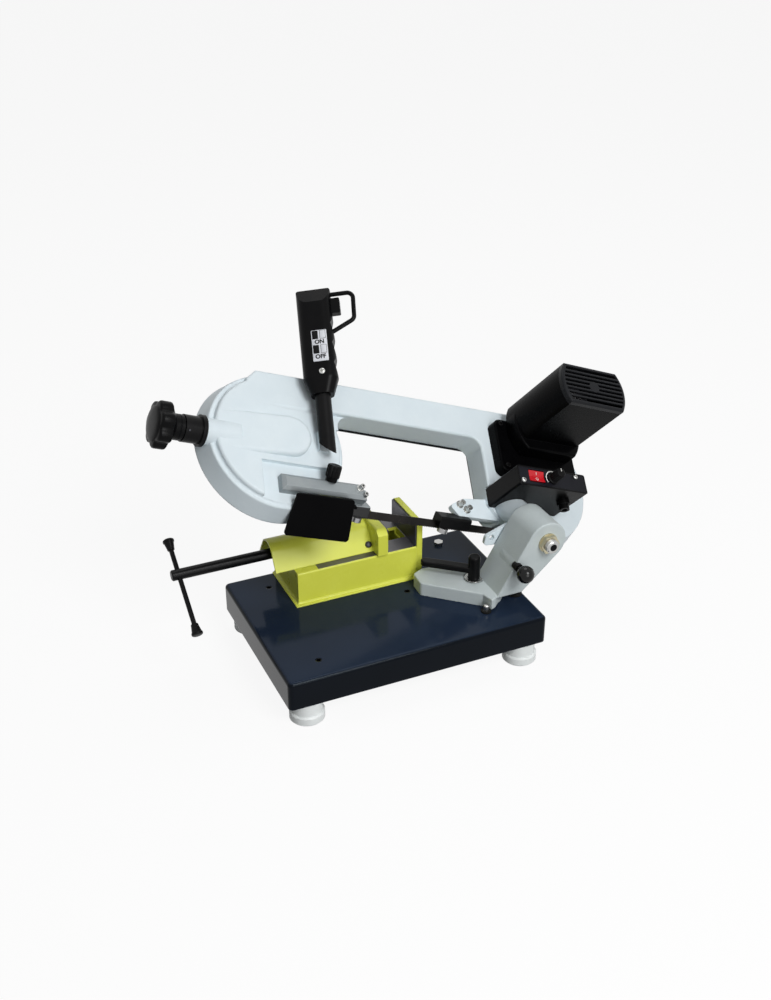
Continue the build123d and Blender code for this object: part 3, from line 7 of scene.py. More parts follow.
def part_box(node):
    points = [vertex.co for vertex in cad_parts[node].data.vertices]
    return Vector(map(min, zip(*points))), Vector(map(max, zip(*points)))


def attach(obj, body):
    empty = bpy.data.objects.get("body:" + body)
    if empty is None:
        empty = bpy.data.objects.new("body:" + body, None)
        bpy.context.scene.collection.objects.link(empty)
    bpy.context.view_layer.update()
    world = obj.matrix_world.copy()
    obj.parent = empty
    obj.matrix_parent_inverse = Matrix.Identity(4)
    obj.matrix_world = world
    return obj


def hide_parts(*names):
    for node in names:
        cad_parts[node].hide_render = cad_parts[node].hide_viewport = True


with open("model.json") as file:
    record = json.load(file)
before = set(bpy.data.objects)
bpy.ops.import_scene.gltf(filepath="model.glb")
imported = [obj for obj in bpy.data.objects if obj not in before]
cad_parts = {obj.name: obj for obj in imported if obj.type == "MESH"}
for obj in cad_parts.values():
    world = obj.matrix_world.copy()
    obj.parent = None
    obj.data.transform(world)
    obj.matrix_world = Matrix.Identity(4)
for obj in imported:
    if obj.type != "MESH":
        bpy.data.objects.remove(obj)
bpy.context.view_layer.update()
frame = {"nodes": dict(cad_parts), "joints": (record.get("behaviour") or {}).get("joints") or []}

nodes = frame["nodes"]


# Base tray. Steel sheet folded down on four sides and welded at the corners, sprayed with gloss navy
# paint. Four plates welded under its corners are tapped for the feet.
def effect(name, takes, gives):
    """An empty node group with named number inputs and named outputs."""
    tree = bpy.data.node_groups.new(name, "ShaderNodeTree")
    for label, start in takes.items():
        socket = tree.interface.new_socket(label, in_out="INPUT", socket_type="NodeSocketFloat")
        socket.default_value = start
    for label, kind in gives.items():
        tree.interface.new_socket(label, in_out="OUTPUT", socket_type="NodeSocket" + kind)
    return tree, tree.nodes.new("NodeGroupInput").outputs, tree.nodes.new("NodeGroupOutput").inputs


def put(tree, kind, feeds=None, **settings):
    """One node with its own settings; feeds go to its inputs, typed in or linked from another node."""
    made = tree.nodes.new("ShaderNode" + kind)
    for key, value in settings.items():
        setattr(made, key, value)
    for key, feed in (feeds or {}).items():
        if isinstance(feed, bpy.types.NodeSocket):
            tree.links.new(feed, made.inputs[key])
        else:
            made.inputs[key].default_value = feed
    return made


def spread(tree, value, low, high, first=0.0, second=1.0):
    """value carried from the range low..high to first..second, and held at the ends."""
    return put(tree, "MapRange", {0: value, 1: low, 2: high, 3: first, 4: second}).outputs[0]


def times(tree, one, other):
    """The product of two numbers."""
    return put(tree, "Math", {0: one, 1: other}, operation="MULTIPLY").outputs[0]


def between(tree, share, first, second):
    """Colour mix: first where share is 0, second where it is 1."""
    return put(tree, "Mix", {0: share, 6: first, 7: second}, data_type="RGBA").outputs[2]


def colour(red, green, blue):
    """Screen colour 0..255 as the linear values that shaders take."""
    c = np.array([red, green, blue]) / 255.0
    linear = np.where(c <= 0.04045, c / 12.92, ((c + 0.055) / 1.055) ** 2.4)
    return (*linear.tolist(), 1.0)


def edge_mask_and_rounding_effect():
    """Near an edge the normal averaged over a small radius parts from the face's own; that difference,
    broken up by noise, is the mask. The averaged normal itself rounds the edge off to the eye."""
    tree, given, out = effect("edge_mask_and_rounding", {"Radius": 0.0006}, {"Mask": "Float", "Normal": "Vector"})
    soft = put(tree, "Bevel", {"Radius": given["Radius"]}, samples=4).outputs[0]
    own = put(tree, "NewGeometry").outputs["Normal"]
    agree = put(tree, "VectorMath", {0: soft, 1: own}, operation="DOT_PRODUCT").outputs["Value"]
    place = put(tree, "TexCoord").outputs["Object"]
    patch = put(tree, "TexNoise", {"Vector": place, "Scale": 160.0, "Detail": 5.0}).outputs[0]
    near = spread(tree, agree, 0.99, 0.78)
    broken = spread(tree, patch, 0.36, 0.62)
    tree.links.new(times(tree, near, broken), out["Mask"])
    tree.links.new(soft, out["Normal"])
    return tree


def fine_grain_effect():
    """Height is fine noise plus a coarser one of a fifth its scale; Mottle is broad soft noise."""
    tree, given, out = effect("fine_grain", {"Scale": 900.0}, {"Height": "Float", "Mottle": "Float"})
    place = put(tree, "TexCoord").outputs["Object"]
    fine = put(tree, "TexNoise", {"Vector": place, "Scale": given["Scale"], "Detail": 3.0}).outputs[0]
    wide_scale = times(tree, given["Scale"], 0.2)
    wide = put(tree, "TexNoise", {"Vector": place, "Scale": wide_scale, "Detail": 2.0}).outputs[0]
    tree.links.new(put(tree, "Math", {0: fine, 1: wide}, operation="ADD").outputs[0], out["Height"])
    blotch = {"Vector": place, "Scale": 23.0, "Detail": 6.0, "Roughness": 0.62}
    broad = put(tree, "TexNoise", blotch).outputs[0]
    tree.links.new(spread(tree, broad, 0.3, 0.7), out["Mottle"])
    return tree


def settled_dust_effect():
    """Mask of fine dust: strongest where the surface faces up, and patchy."""
    tree, given, out = effect("settled_dust", {"Amount": 0.1}, {"Mask": "Float"})
    where = put(tree, "TexCoord")
    facing = put(tree, "SeparateXYZ", {0: where.outputs["Normal"]}).outputs["Z"]
    up = spread(tree, facing, 0.55, 1.0)
    cloud = {"Vector": where.outputs["Object"], "Scale": 34.0, "Detail": 7.0}
    drift = put(tree, "TexNoise", cloud).outputs[0]
    share = times(tree, up, spread(tree, drift, 0.38, 0.72))
    tree.links.new(times(tree, share, given["Amount"]), out["Mask"])
    return tree


edge_mask_and_rounding = edge_mask_and_rounding_effect()
fine_grain = fine_grain_effect()
settled_dust = settled_dust_effect()
dust_tone = colour(150, 146, 138)


def finish(name, tone, shade, rough, grain, edge, edge_wear_and_highlight=None, share=0.0, dust=0.0, uniform=None):
    """A coated, moulded or ground surface. Colour and roughness run between two values with a broad
    mottling, edges go towards the edge colour by the given share, which is wear on most finishes and a
    painted highlight on the navy paint and the motor's plastic, dust lies on what faces up, and
    a fine grain of the given scale and depth lifts the surface over its rounded edges."""
    look = bpy.data.materials.new(name)
    look.use_nodes = True
    tree = look.node_tree
    shader = tree.nodes["Principled BSDF"]
    grains = put(tree, "Group", node_tree=fine_grain)
    grains.inputs["Scale"].default_value = grain[0]
    edges = put(tree, "Group", node_tree=edge_mask_and_rounding)
    edges.inputs["Radius"].default_value = edge
    mottle = grains.outputs["Mottle"]
    base = between(tree, mottle, tone, shade)
    gloss = spread(tree, mottle, 0.0, 1.0, rough[0], rough[1])
    if edge_wear_and_highlight:
        base = between(tree, times(tree, edges.outputs["Mask"], share), base, edge_wear_and_highlight)
    if dust:
        lying = put(tree, "Group", node_tree=settled_dust)
        lying.inputs["Amount"].default_value = dust
        base = between(tree, lying.outputs["Mask"], base, dust_tone)
        gloss = put(tree, "Math", {0: gloss, 1: lying.outputs["Mask"]}, operation="ADD").outputs[0]
    feeds = {"Distance": grain[1], "Height": grains.outputs["Height"], "Normal": edges.outputs["Normal"]}
    tree.links.new(base, shader.inputs["Base Color"])
    tree.links.new(gloss, shader.inputs["Roughness"])
    tree.links.new(put(tree, "Bump", feeds).outputs[0], shader.inputs["Normal"])
    for label, value in (uniform or {}).items():
        shader.inputs[label].default_value = value
    return look


def dress(look, *names):
    """Gives the named solids of the frame this finish."""
    for name in names:
        for place in nodes[name].material_slots:
            place.material = look


# The navy's light blue-grey edge colour is a painted highlight along the tray's folded edges.
navy_gloss = finish(
    "navy_gloss_paint", tone=colour(6, 9, 16), shade=colour(9, 12, 20), rough=(0.08, 0.13),
    grain=(260.0, 0.00003), edge=0.0022,
    edge_wear_and_highlight=colour(124, 138, 162), share=0.8, dust=0.02,
    uniform={"Specular IOR Level": 0.09, "Specular Tint": (0.74, 0.88, 1.0, 1.0)},
)


def tray_finish():
    """The navy paint, paler and bluer on what faces up, as painted light: a mask of the normal's
    Z mixes a lighter navy in, a little unevenly, for the light and reflection that the top catches."""
    painted_light_navy = colour(34, 46, 65)
    look = navy_gloss.copy()
    look.name = "navy_gloss_paint_painted_top_light"
    tree = look.node_tree
    base = tree.nodes["Principled BSDF"].inputs["Base Color"]
    where = put(tree, "TexCoord").outputs
    facing = put(tree, "SeparateXYZ", {0: where["Normal"]}).outputs["Z"]
    cloud = put(tree, "TexNoise", {"Vector": where["Object"], "Scale": 9.0, "Detail": 4.0}).outputs[0]
    painted_top_light = times(tree, spread(tree, facing, 0.7, 1.0), spread(tree, cloud, 0.3, 0.7, first=0.8))
    tree.links.new(between(tree, painted_top_light, base.links[0].from_socket, painted_light_navy), base)
    return look


dress(tray_finish(), "base_tray")


# Feet. Four stepped discs of off-white moulded plastic, screwed up into the tray's corner plates.
# The moulding is matte, a little dirty round the lower rim.
foot_plastic = finish(
    "foot_plastic", tone=colour(246, 250, 250), shade=colour(238, 243, 242), rough=(0.42, 0.58),
    grain=(1400.0, 0.00004), edge=0.0010, edge_wear_and_highlight=colour(196, 192, 182), share=0.5, dust=0.05,
)
dress(foot_plastic, "feet")


# Fasteners of the tray. A hexagon bolt at the back and two domed stop bolts on dark washers, all of
# zinc-plated steel turned from bar; the washers are rubber.
zinc = finish(
    "zinc_plate", tone=colour(196, 196, 192), shade=colour(176, 177, 176), rough=(0.2, 0.36),
    grain=(2600.0, 0.00002), edge=0.0004,
    edge_wear_and_highlight=colour(120, 118, 114), share=0.4, uniform={"Metallic": 1.0},
)
rubber = finish(
    "black_rubber", tone=colour(12, 12, 12), shade=colour(18, 18, 17), rough=(0.72, 0.88),
    grain=(1800.0, 0.00005), edge=0.0005,
    edge_wear_and_highlight=colour(46, 45, 43), share=0.3, dust=0.06, uniform={"Specular IOR Level": 0.15},
)
dress(zinc, "tray_bolt", "stop_bolts")
dress(rubber, "stop_washers")


# Hole shade plugs. Blind cups of black moulded plastic, pressed into the tray's three fixing holes until
# they lie flush with the sheet: painted shade, dark pieces that stand in for the shade inside the holes.
def finished(name, mesh, look, body):
    """The finished piece: a mesh in one look, riding on its body under the given name."""
    mesh.materials.append(look)
    piece = bpy.data.objects.new(name, mesh)
    bpy.context.scene.collection.objects.link(piece)
    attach(piece, body)
    return piece


def skin(name, stacks, look, body, crease=34.0):
    """One piece from stacks of rings: stack[i, j] is point j of ring i. Neighbouring rings are joined by
    four-sided faces. Each end is closed by a fan about the middle of its ring, but a stack whose last
    ring repeats its first is joined on itself. Faces are turned so that the volume they enclose,
    the sum of a . (b x c) over their triangles, is positive, which makes them point outwards."""
    points, faces, count = [], [], 0
    for stack in stacks:
        joined = np.allclose(stack[0], stack[-1])
        stack = stack[:-1] if joined else stack
        rings, around = stack.shape[:2]
        i = np.arange(rings if joined else rings - 1)[:, None]
        j = np.arange(around)[None, :]
        here, there, nxt = i * around, (i + 1) % rings * around, (j + 1) % around
        corners = np.broadcast_arrays(here + j, here + nxt, there + nxt, there + j)
        quads = np.stack(corners, -1).reshape(-1, 4)
        flat = stack.reshape(-1, 3)
        fans = np.zeros((0, 3), int)
        if not joined:
            rim, step, pole = j[0], nxt[0], np.full(around, rings * around)
            last = (rings - 1) * around
            foot = np.stack([step, rim, pole], 1)
            head = np.stack([rim + last, step + last, pole + 1], 1)
            fans = np.concatenate([foot, head])
            flat = np.concatenate([flat, stack[:1].mean(1), stack[-1:].mean(1)])
        thirds = np.concatenate([quads[:, [0, 1, 2]], quads[:, [0, 2, 3]], fans])
        a, b, c = (flat[thirds[:, k]] - flat[0] for k in range(3))
        if np.einsum("ij,ij->", a, np.cross(b, c)) < 0:
            quads, fans = quads[:, ::-1], fans[:, ::-1]
        faces += (quads + count).tolist() + (fans + count).tolist()
        points.append(flat)
        count += len(flat)
    mesh = bpy.data.meshes.new(name)
    mesh.from_pydata(np.concatenate(points).tolist(), [], faces)
    mesh.shade_smooth()
    mesh.set_sharp_from_angle(angle=np.radians(crease))
    return finished(name, mesh, look, body)


def turned(radius, height, foot, axis, zero=(0.13, 0.21, 0.97), around=48):
    """Rings turned about an axis standing at foot, radius and height in mm: a point is
    foot + height * axis + radius * (cos a * one + sin a * other), where one is square to the axis
    and nearest to zero. Both may hold one number per ring, or one per ring and angle."""
    axis = np.asarray(axis) / np.linalg.norm(axis)
    one = np.asarray(zero) - np.dot(zero, axis) * axis
    one = one / np.linalg.norm(one)
    other = np.cross(axis, one)
    angle = np.linspace(0.0, 2.0 * np.pi, around, endpoint=False)
    spoke = np.cos(angle)[:, None] * one + np.sin(angle)[:, None] * other
    radius, height = (np.asarray(a, float).reshape(len(a), -1) / 1000 for a in (radius, height))
    return np.asarray(foot) + height[..., None] * axis + radius[..., None] * spoke


moulded = finish(
    "black_moulded_plastic", tone=colour(5, 5, 6), shade=colour(8, 8, 9), rough=(0.26, 0.36),
    grain=(1500.0, 0.00006), edge=0.0011,
    edge_wear_and_highlight=colour(40, 42, 46), share=0.35, dust=0.01, uniform={"Specular IOR Level": 0.08},
)
upright = (0.0, 0.0, 1.0)
tray_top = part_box("base_tray")[1].z
hole_spots = [(-0.142, 0.1, tray_top), (-0.142, -0.1, tray_top), (0.043, 0.006, tray_top)]
# The dark plugs below are painted shade for the inside of the tray's fixing holes.
shade_plug_r = [4.4, 4.4, 4.2, 3.4, 3.1, 3.1]
shade_plug_h = [-14.0, -0.5, -0.15, -0.15, -0.5, -11.0]
shade_plugs = [turned(shade_plug_r, shade_plug_h, spot, upright, around=32) for spot in hole_spots]
skin("hole_shade_plugs", shade_plugs, moulded, "base")


# Vise. A cast bed, a fixed jaw and a moving jaw with its tunnel, sprayed lime yellow; the bed's top is
# planed bare for the jaw to slide on, a lip is cast round its foot, and hardened plates are screwed to
# both jaws.
yellow_gloss = finish(
    "lime_yellow_paint", tone=colour(226, 231, 88), shade=colour(221, 226, 80), rough=(0.24, 0.34),
    grain=(420.0, 0.00007), edge=0.0014,
    edge_wear_and_highlight=colour(236, 238, 132), share=0.5, dust=0.02, uniform={"Specular IOR Level": 0.3},
)


def bed_finish():
    """The yellow paint, with the planed part of the top left bare: a mask of height, and of X past the
    cutter's run-out, takes the metal's values there; noise stretched along X draws the marks."""
    look = yellow_gloss.copy()
    look.name = "lime_yellow_paint_planed_top"
    tree = look.node_tree
    shader = tree.nodes["Principled BSDF"]
    place = put(tree, "TexCoord").outputs["Object"]
    place_axis = put(tree, "SeparateXYZ", {0: place}).outputs
    run_out = (-0.0865, -0.0855)
    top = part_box("vise_bed")[1].z
    planed = spread(tree, place_axis["X"], *run_out)
    bare = times(tree, planed, spread(tree, place_axis["Z"], top - 0.0003, top - 0.0002))
    marks_scale = (18.0, 900.0, 900.0)
    stretched = put(tree, "VectorMath", {0: place, 1: marks_scale}, operation="MULTIPLY").outputs[0]
    marks = put(tree, "TexNoise", {"Vector": stretched, "Scale": 1.0, "Detail": 3.0}).outputs[0]
    iron = between(tree, marks, colour(84, 84, 86), colour(122, 121, 122))
    painted = shader.inputs["Base Color"].links[0].from_socket
    gloss = shader.inputs["Roughness"].links[0].from_socket
    rough = spread(tree, marks, 0.3, 0.7, 0.3, 0.5)
    tree.links.new(between(tree, bare, painted, iron), shader.inputs["Base Color"])
    mixed = put(tree, "Mix", {0: bare, 2: gloss, 3: rough}).outputs[0]
    tree.links.new(mixed, shader.inputs["Roughness"])
    tree.links.new(times(tree, bare, 0.85), shader.inputs["Metallic"])
    return look


ground_iron = finish(
    "ground_iron", tone=colour(78, 78, 84), shade=colour(60, 60, 66), rough=(0.34, 0.52),
    grain=(1900.0, 0.00004), edge=0.0005,
    edge_wear_and_highlight=colour(150, 150, 152), share=0.6, uniform={"Metallic": 0.8},
)
bronze = finish(
    "bush_bronze", tone=colour(172, 132, 76), shade=colour(150, 112, 64), rough=(0.28, 0.42),
    grain=(2200.0, 0.00002), edge=0.0004, uniform={"Metallic": 1.0},
)
dress(bed_finish(), "vise_bed")
dress(yellow_gloss, "fixed_jaw", "moving_jaw", "vise_hood")
dress(ground_iron, "fixed_jaw_plate", "moving_jaw_plate")
dress(bronze, "vise_nut")
bed_lo, bed_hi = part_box("vise_bed")
lip_out = np.array([-1.5, 4.6, 4.6, 4.2, 3.0, 1.9, 1.1, 0.5, -1.5]) / 1000
lip_up = np.array([0.1, 0.1, 1.5, 2.0, 2.3, 3.0, 4.2, 6.0, 6.0]) / 1000
lip_end = 0.0805
lip_path = np.array([[lip_end, bed_lo.y], [bed_lo.x, bed_lo.y], [bed_lo.x, bed_hi.y]])
lip_way = np.array([[0.0, -1.0], [-1.0, -1.0], [-1.0, 0.0]])
lip_flat = lip_path[:, None, :] + lip_out[None, :, None] * lip_way[:, None, :]
lip_level = np.broadcast_to(tray_top + lip_up, lip_flat.shape[:2])[..., None]
lip = np.concatenate([lip_flat, lip_level], 2)
skin("bed_foot_lip", [lip], yellow_gloss, "base", crease=50.0)


# Pin of the moving jaw. A domed steel pin pressed through the tunnel beside the jaw, which keeps the
# screw's end in its seat.
jaw_pin_r = [5.0, 5.0, 4.7, 3.9, 2.7, 1.2]
jaw_pin_h = [-3.0, 1.6, 2.5, 3.4, 4.0, 4.3]
jaw_pin_foot = (0.0014, 0.0551, 0.1397)
jaw_pin_way = (0.0, -0.84, 0.54)
jaw_pin = turned(jaw_pin_r, jaw_pin_h, jaw_pin_foot, jaw_pin_way, around=32)
skin("jaw_pin", [jaw_pin], ground_iron, "vise_slide")


# Vise screw and cross bar. Both are turned from bar and blacked; the bar slides in the screw's head and
# ends in two flared cups driven onto it.
blacked = finish(
    "blacked_steel", tone=colour(10, 10, 11), shade=colour(15, 15, 16), rough=(0.26, 0.38),
    grain=(1500.0, 0.00003), edge=0.0006,
    edge_wear_and_highlight=colour(62, 61, 60), share=0.25, dust=0.02, uniform={"Specular IOR Level": 0.1},
)
dress(blacked, "vise_screw", "cross_bar")
bar_lo, bar_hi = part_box("cross_bar")
joint = {j["name"]: j for j in frame["joints"]}
bar_axis = np.array(joint["bar_slide"]["axis"])
bar_middle = (np.array(bar_lo) + np.array(bar_hi)) / 2
cup_r = [4.1, 5.3, 5.6, 5.4]
cup_h = [-1.6, -1.2, 0.6, 1.4]
cup_reach = 0.061
cap_r = [7.2, 8.2, 8.4, 8.2, 7.3, 5.0, 2.0]
cap_h = [71.6, 72.0, 73.6, 74.9, 75.7, 76.2, 76.4]
ends = (-bar_axis, bar_axis)
cups = [turned(cup_r, cup_h, bar_middle + way * cup_reach, way, around=36) for way in ends]
cups += [turned(cap_r, cap_h, bar_middle, way, around=48) for way in ends]
skin("cross_bar_rings", cups, blacked, "cross_bar")


# Swivel bracket. A grey casting that turns on a stud through the tray; its tall ear carries the bow's
# hinge pin, held by a plated nut on the pin's threaded end. A soft boss cast on the ear's side, with a
# black sleeve pressed into it, guides the pull pin.
grey_coat = {
    "tone": colour(200, 209, 210), "shade": colour(191, 201, 202), "rough": (0.34, 0.5),
    "grain": (380.0, 0.00016), "dust": 0.06, "uniform": {"Specular IOR Level": 0.3},
}
grey_cast = finish("grey_cast_paint", **grey_coat, edge=0.0014, edge_wear_and_highlight=colour(148, 152, 152), share=0.3)
grey_thin = finish("grey_boss_paint", **grey_coat, edge=0.00003)
dress(grey_cast, "swivel_bracket")
dress(zinc, "hinge_pin", "swivel_stud")
passivated = finish(
    "passivated_zinc", tone=colour(202, 194, 164), shade=colour(182, 175, 150), rough=(0.22, 0.38),
    grain=(2400.0, 0.00002), edge=0.0005,
    edge_wear_and_highlight=colour(132, 126, 110), share=0.4, uniform={"Metallic": 1.0},
)
dress(passivated, "hinge_nut")


def thread(outer, pitch, depth, length, foot, axis, around=48):
    """Screw thread: radius = outer - depth * |2 f - 1|, where f is the fraction of height / pitch less
    the turn, so that one ridge climbs a pitch in each turn."""
    height = np.arange(0.0, length + 1e-6, pitch / 8)
    turn = np.arange(around) / around
    f = (height[:, None] / pitch - turn[None, :]) % 1.0
    radius = outer - depth * np.abs(2.0 * f - 1.0)
    radius[[0, -1]] = outer - depth
    return turned(radius, height, foot, axis, around=around)


inward = np.array([0.0, 1.0, 0.0])
pin_lo, pin_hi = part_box("hinge_pin")
nut_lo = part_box("hinge_nut")[0]
pin_end = np.array([(pin_lo.x + pin_hi.x) / 2, pin_lo.y, (pin_lo.z + pin_hi.z) / 2])
plain_end = 1.2
thread_proud = 0.45
thread_outer = (pin_hi.x - pin_lo.x) * 500 + thread_proud
thread_length = (nut_lo.y - pin_lo.y) * 1000 - plain_end
thread_foot = pin_end + inward * plain_end / 1000
pin_thread = thread(thread_outer, pitch=1.75, depth=0.4, length=thread_length, foot=thread_foot, axis=inward)
skin("hinge_pin_thread", [pin_thread], zinc, "swivel", crease=50.0)
plug_r = [5.4, 5.4, 5.0, 2.0]
plug_h = [-0.5, 0.25, 0.4, 0.45]
pin_plug = turned(plug_r, plug_h, pin_end, -inward, around=40)
skin("hinge_pin_plug", [pin_plug], moulded, "swivel")


def swelling(foot, axis, out, bore, half_width, low, rise, along, swell):
    """Soft swelling over a bore that comes close to a flat side: across the side its face stands at
    low + rise * swell * cos^2 of the way over. Its back follows the bore's circle, but goes no deeper
    than the square root of least_square and stays a film's thickness under the face."""
    least_square, film = 12.0, 0.05
    over = np.linspace(-half_width, half_width, 37)
    face = low + rise * swell[:, None] * np.cos(np.pi * over / (2 * half_width)) ** 2
    back = np.minimum(np.sqrt(np.maximum(bore**2 - over**2, least_square)), face - film)
    tall = np.concatenate([face, back[:, ::-1]], 1)[..., None]
    wide = np.concatenate([over, over[::-1]])[None, :, None]
    return foot + (along[:, None, None] * axis + wide * np.cross(axis, out) + tall * out) / 1000


boss_foot = np.array([0.174, -0.0951, 0.1395])
boss_out = np.array([-0.8659, 0.0, 0.5003])
boss_along = np.array([9.5, 12.0, 20.0, 30.0, 45.0, 47.0, 49.0, 51.0])
boss_swell = np.array([1.0, 1.0, 1.0, 1.0, 1.0, 0.75, 0.25, 0.0])
boss = swelling(
    boss_foot, inward, boss_out, bore=4.55, half_width=9.0, low=4.1, rise=0.6,
    along=boss_along, swell=boss_swell,
)
skin("pull_pin_boss", [boss], grey_thin, "swivel")
sleeve_r = [4.65, 6.2, 6.6, 6.6, 6.2, 4.65, 4.65]
sleeve_h = [0.0, 0.0, 0.5, 11.4, 12.2, 12.2, 0.0]
sleeve = turned(sleeve_r, sleeve_h, boss_foot, inward)
skin("pull_pin_sleeve", [sleeve], blacked, "swivel")


# Lock lever and pull pin. The lever, of blacked steel, clamps the bracket on its stud. The pin slides in
# the bracket's ear and is drawn by its ball of polished black plastic.
black_ball = finish(
    "black_ball_plastic", tone=colour(8, 8, 9), shade=colour(11, 11, 12), rough=(0.1, 0.16),
    grain=(900.0, 0.00001), edge=0.0004, uniform={"Specular IOR Level": 0.25},
)
dress(blacked, "lock_lever")
dress(black_ball, "pull_pin")


def washer(outer, inner, tall, foot, axis, around=40):
    """Flat ring with eased edges: the section is carried round and joined on itself."""
    draw, drop = 0.25, 0.2
    radius = np.array([inner, inner, inner + draw, outer - draw, outer, outer, inner])
    height = np.array([0.0, tall - drop, tall, tall, tall - drop, 0.0, 0.0])
    return turned(radius, height, foot, axis, around=around)


lever_foot = (0.135, -0.031, 0.0965)
lever_ring = washer(outer=14.0, inner=9.5, tall=0.8, foot=lever_foot, axis=upright)
skin("lever_washer", [lever_ring], zinc, "swivel")


# Bow casting. One aluminium casting: two round wheel housings, the arm between them and the column at
# the hinge, fettled and sprayed white with a slight cast texture under the paint.
white_cast = finish(
    "white_cast_paint", tone=colour(226, 237, 242), shade=colour(220, 232, 238), rough=(0.3, 0.44),
    grain=(330.0, 0.00020), edge=0.0018,
    edge_wear_and_highlight=colour(176, 182, 184), share=0.22, dust=0.04, uniform={"Specular IOR Level": 0.3},
)
dress(white_cast, "bow_casting")
dress(bronze, "hinge_bush")


# Wheels and drive inside the bow. Cast iron blade wheels, turned on the rim, with steel axles, a cut
# reduction gear and the motor's laminated core.
turned_steel = finish(
    "turned_steel", tone=colour(168, 168, 168), shade=colour(146, 146, 148), rough=(0.24, 0.4),
    grain=(2400.0, 0.00002), edge=0.0004,
    edge_wear_and_highlight=colour(205, 205, 205), share=0.4, uniform={"Metallic": 1.0},
)
dress(ground_iron, "drive_wheel", "tension_wheel", "motor_stator")
dress(turned_steel, "drive_axle", "counter_gear", "motor_rotor", "tension_carriage")


# Blade. An endless bimetal band, 13 mm wide and 0.65 mm thick, with eight raked teeth to the inch, each
# set a little to one side; the run through the guides is twisted until it stands upright.
hub = np.array(joint["drive_spin"]["pos_m"])
out_way = np.array(joint["drive_spin"]["axis"])
along = -np.array(joint["tension_turn"]["axis"])
across = np.cross(out_way, along)


def bow(x, v, n):
    """Point of the bow's own frame in mm: x along it from the drive wheel, v across it, n out of its
    face."""
    x, v, n = (np.asarray(a, float)[..., None] / 1000 for a in (x, v, n))
    return hub + x * along + v * across + n * out_way


blade_loop = 1440.0
wheel_radius = 88.0
tension_x = -(blade_loop - 2.0 * np.pi * wheel_radius) / 2.0
twist_x = np.array([tension_x + 9.0, -345.0, -129.0, 0.0])
twist_turn = np.radians([0.0, 38.0, 38.0, 0.0])


def band(teeth, width, thick, gullet, set_out):
    """Closed band: s runs round the loop, half a circle on each wheel and a straight run between. The
    section is a rectangle, thick across the rim and wide along n, turned about the run by the twist.
    The toothed edge steps back from the tip by the gullet's depth along a raked saw shape, and a land
    under the gullets keeps the set teeth apart from the flat of the band."""
    share = np.array([0.0, 0.22, 0.42, 0.96])
    depth = np.array([0.0, 1.0, 0.82, 0.05])
    land = 0.6
    tooth = np.arange(teeth)
    s = ((tooth[:, None] + share[None, :]) * blade_loop / teeth).ravel()
    none = np.zeros_like(s)
    back = np.tile(depth, teeth) * gullet
    lean = np.repeat(np.where(tooth % 2, set_out, -set_out), len(share)) * (np.tile(depth, teeth) < 0.5)
    run, half = -tension_x, np.pi * wheel_radius
    cut = s < run
    left = (s >= run) & (s < run + half)
    top = (s >= run + half) & (s < 2 * run + half)
    parts = [cut, left, top]
    angle = np.select(parts, [none, (s - run) / wheel_radius, none + np.pi],
                      np.pi + (s - 2 * run - half) / wheel_radius)
    swing = wheel_radius * np.sin(angle)
    x = np.select(parts, [-s, tension_x - swing, tension_x + (s - run - half)], -swing)
    v = -wheel_radius * np.cos(angle)
    turn = np.where(cut, np.interp(x, twist_x, twist_turn), 0.0)
    radial_x, radial_v = -np.sin(angle), -np.cos(angle)
    thin = np.stack([radial_x * np.cos(turn), radial_v * np.cos(turn), np.sin(turn)], 1)
    wide = np.stack([none, np.sin(turn), np.cos(turn)], 1)
    middle = np.stack([x, v, none], 1)
    tip = -width / 2 + back
    root = tip + gullet + land - back
    edge = width / 2 + none
    face = thick / 2
    corners = [(face, edge, none), (-face, edge, none), (-face, root, none),
               (-face, tip, lean), (face, tip, lean), (face, root, none)]
    rings = [middle + (t + bend)[:, None] * thin + w[:, None] * wide for t, w, bend in corners]
    rings = np.stack(rings, 1)
    rings = bow(rings[..., 0], rings[..., 1], rings[..., 2])
    return np.concatenate([rings, rings[:1]])


blade_steel = finish(
    "blade_steel", tone=colour(48, 45, 44), shade=colour(37, 36, 35), rough=(0.26, 0.42),
    grain=(1700.0, 0.00002), edge=0.0003,
    edge_wear_and_highlight=colour(150, 148, 146), share=0.7, uniform={"Metallic": 0.9},
)
saw_band = band(teeth=454, width=13.0, thick=0.65, gullet=1.3, set_out=0.12)
blade = skin("toothed_blade", [saw_band], blade_steel, "bow", crease=20.0)
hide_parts("blade")


# Back cover. Black sheet steel that closes the bow's open back, held by cross-recessed pan screws
# round both wheels and along the arm.
def cross_head(size, foot, axis, zero):
    """Pan head with a cross recess: height = dome - depth where the distance to the nearer arm of the
    cross, r * |sin| of the angle from it, is under the arm's half width and r is inside the cross.
    All are shares of the head's radius, and both limits run out over a short way."""
    around = 48
    arm, arm_fade, reach, reach_fade, depth = 0.15, 0.05, 0.56, 0.06, 0.42
    share = np.array([1.0, 1.0, 0.97, 0.88, 0.74, 0.62, 0.54, 0.46, 0.36, 0.26, 0.16, 0.06])
    dome = np.array([-0.3, 0.22, 0.36, 0.5, 0.6, 0.655, 0.68, 0.7, 0.72, 0.735, 0.745, 0.75])
    angle = np.linspace(0.0, 2.0 * np.pi, around, endpoint=False)
    aside = share[:, None] * np.abs(np.sin((angle + np.pi / 4) % (np.pi / 2) - np.pi / 4))[None, :]
    inside = np.clip((arm - aside) / arm_fade, 0, 1) * np.clip((reach - share[:, None]) / reach_fade, 0, 1)
    height = dome[:, None] - depth * inside
    return turned(share * size, height * size, foot, axis, zero, around)


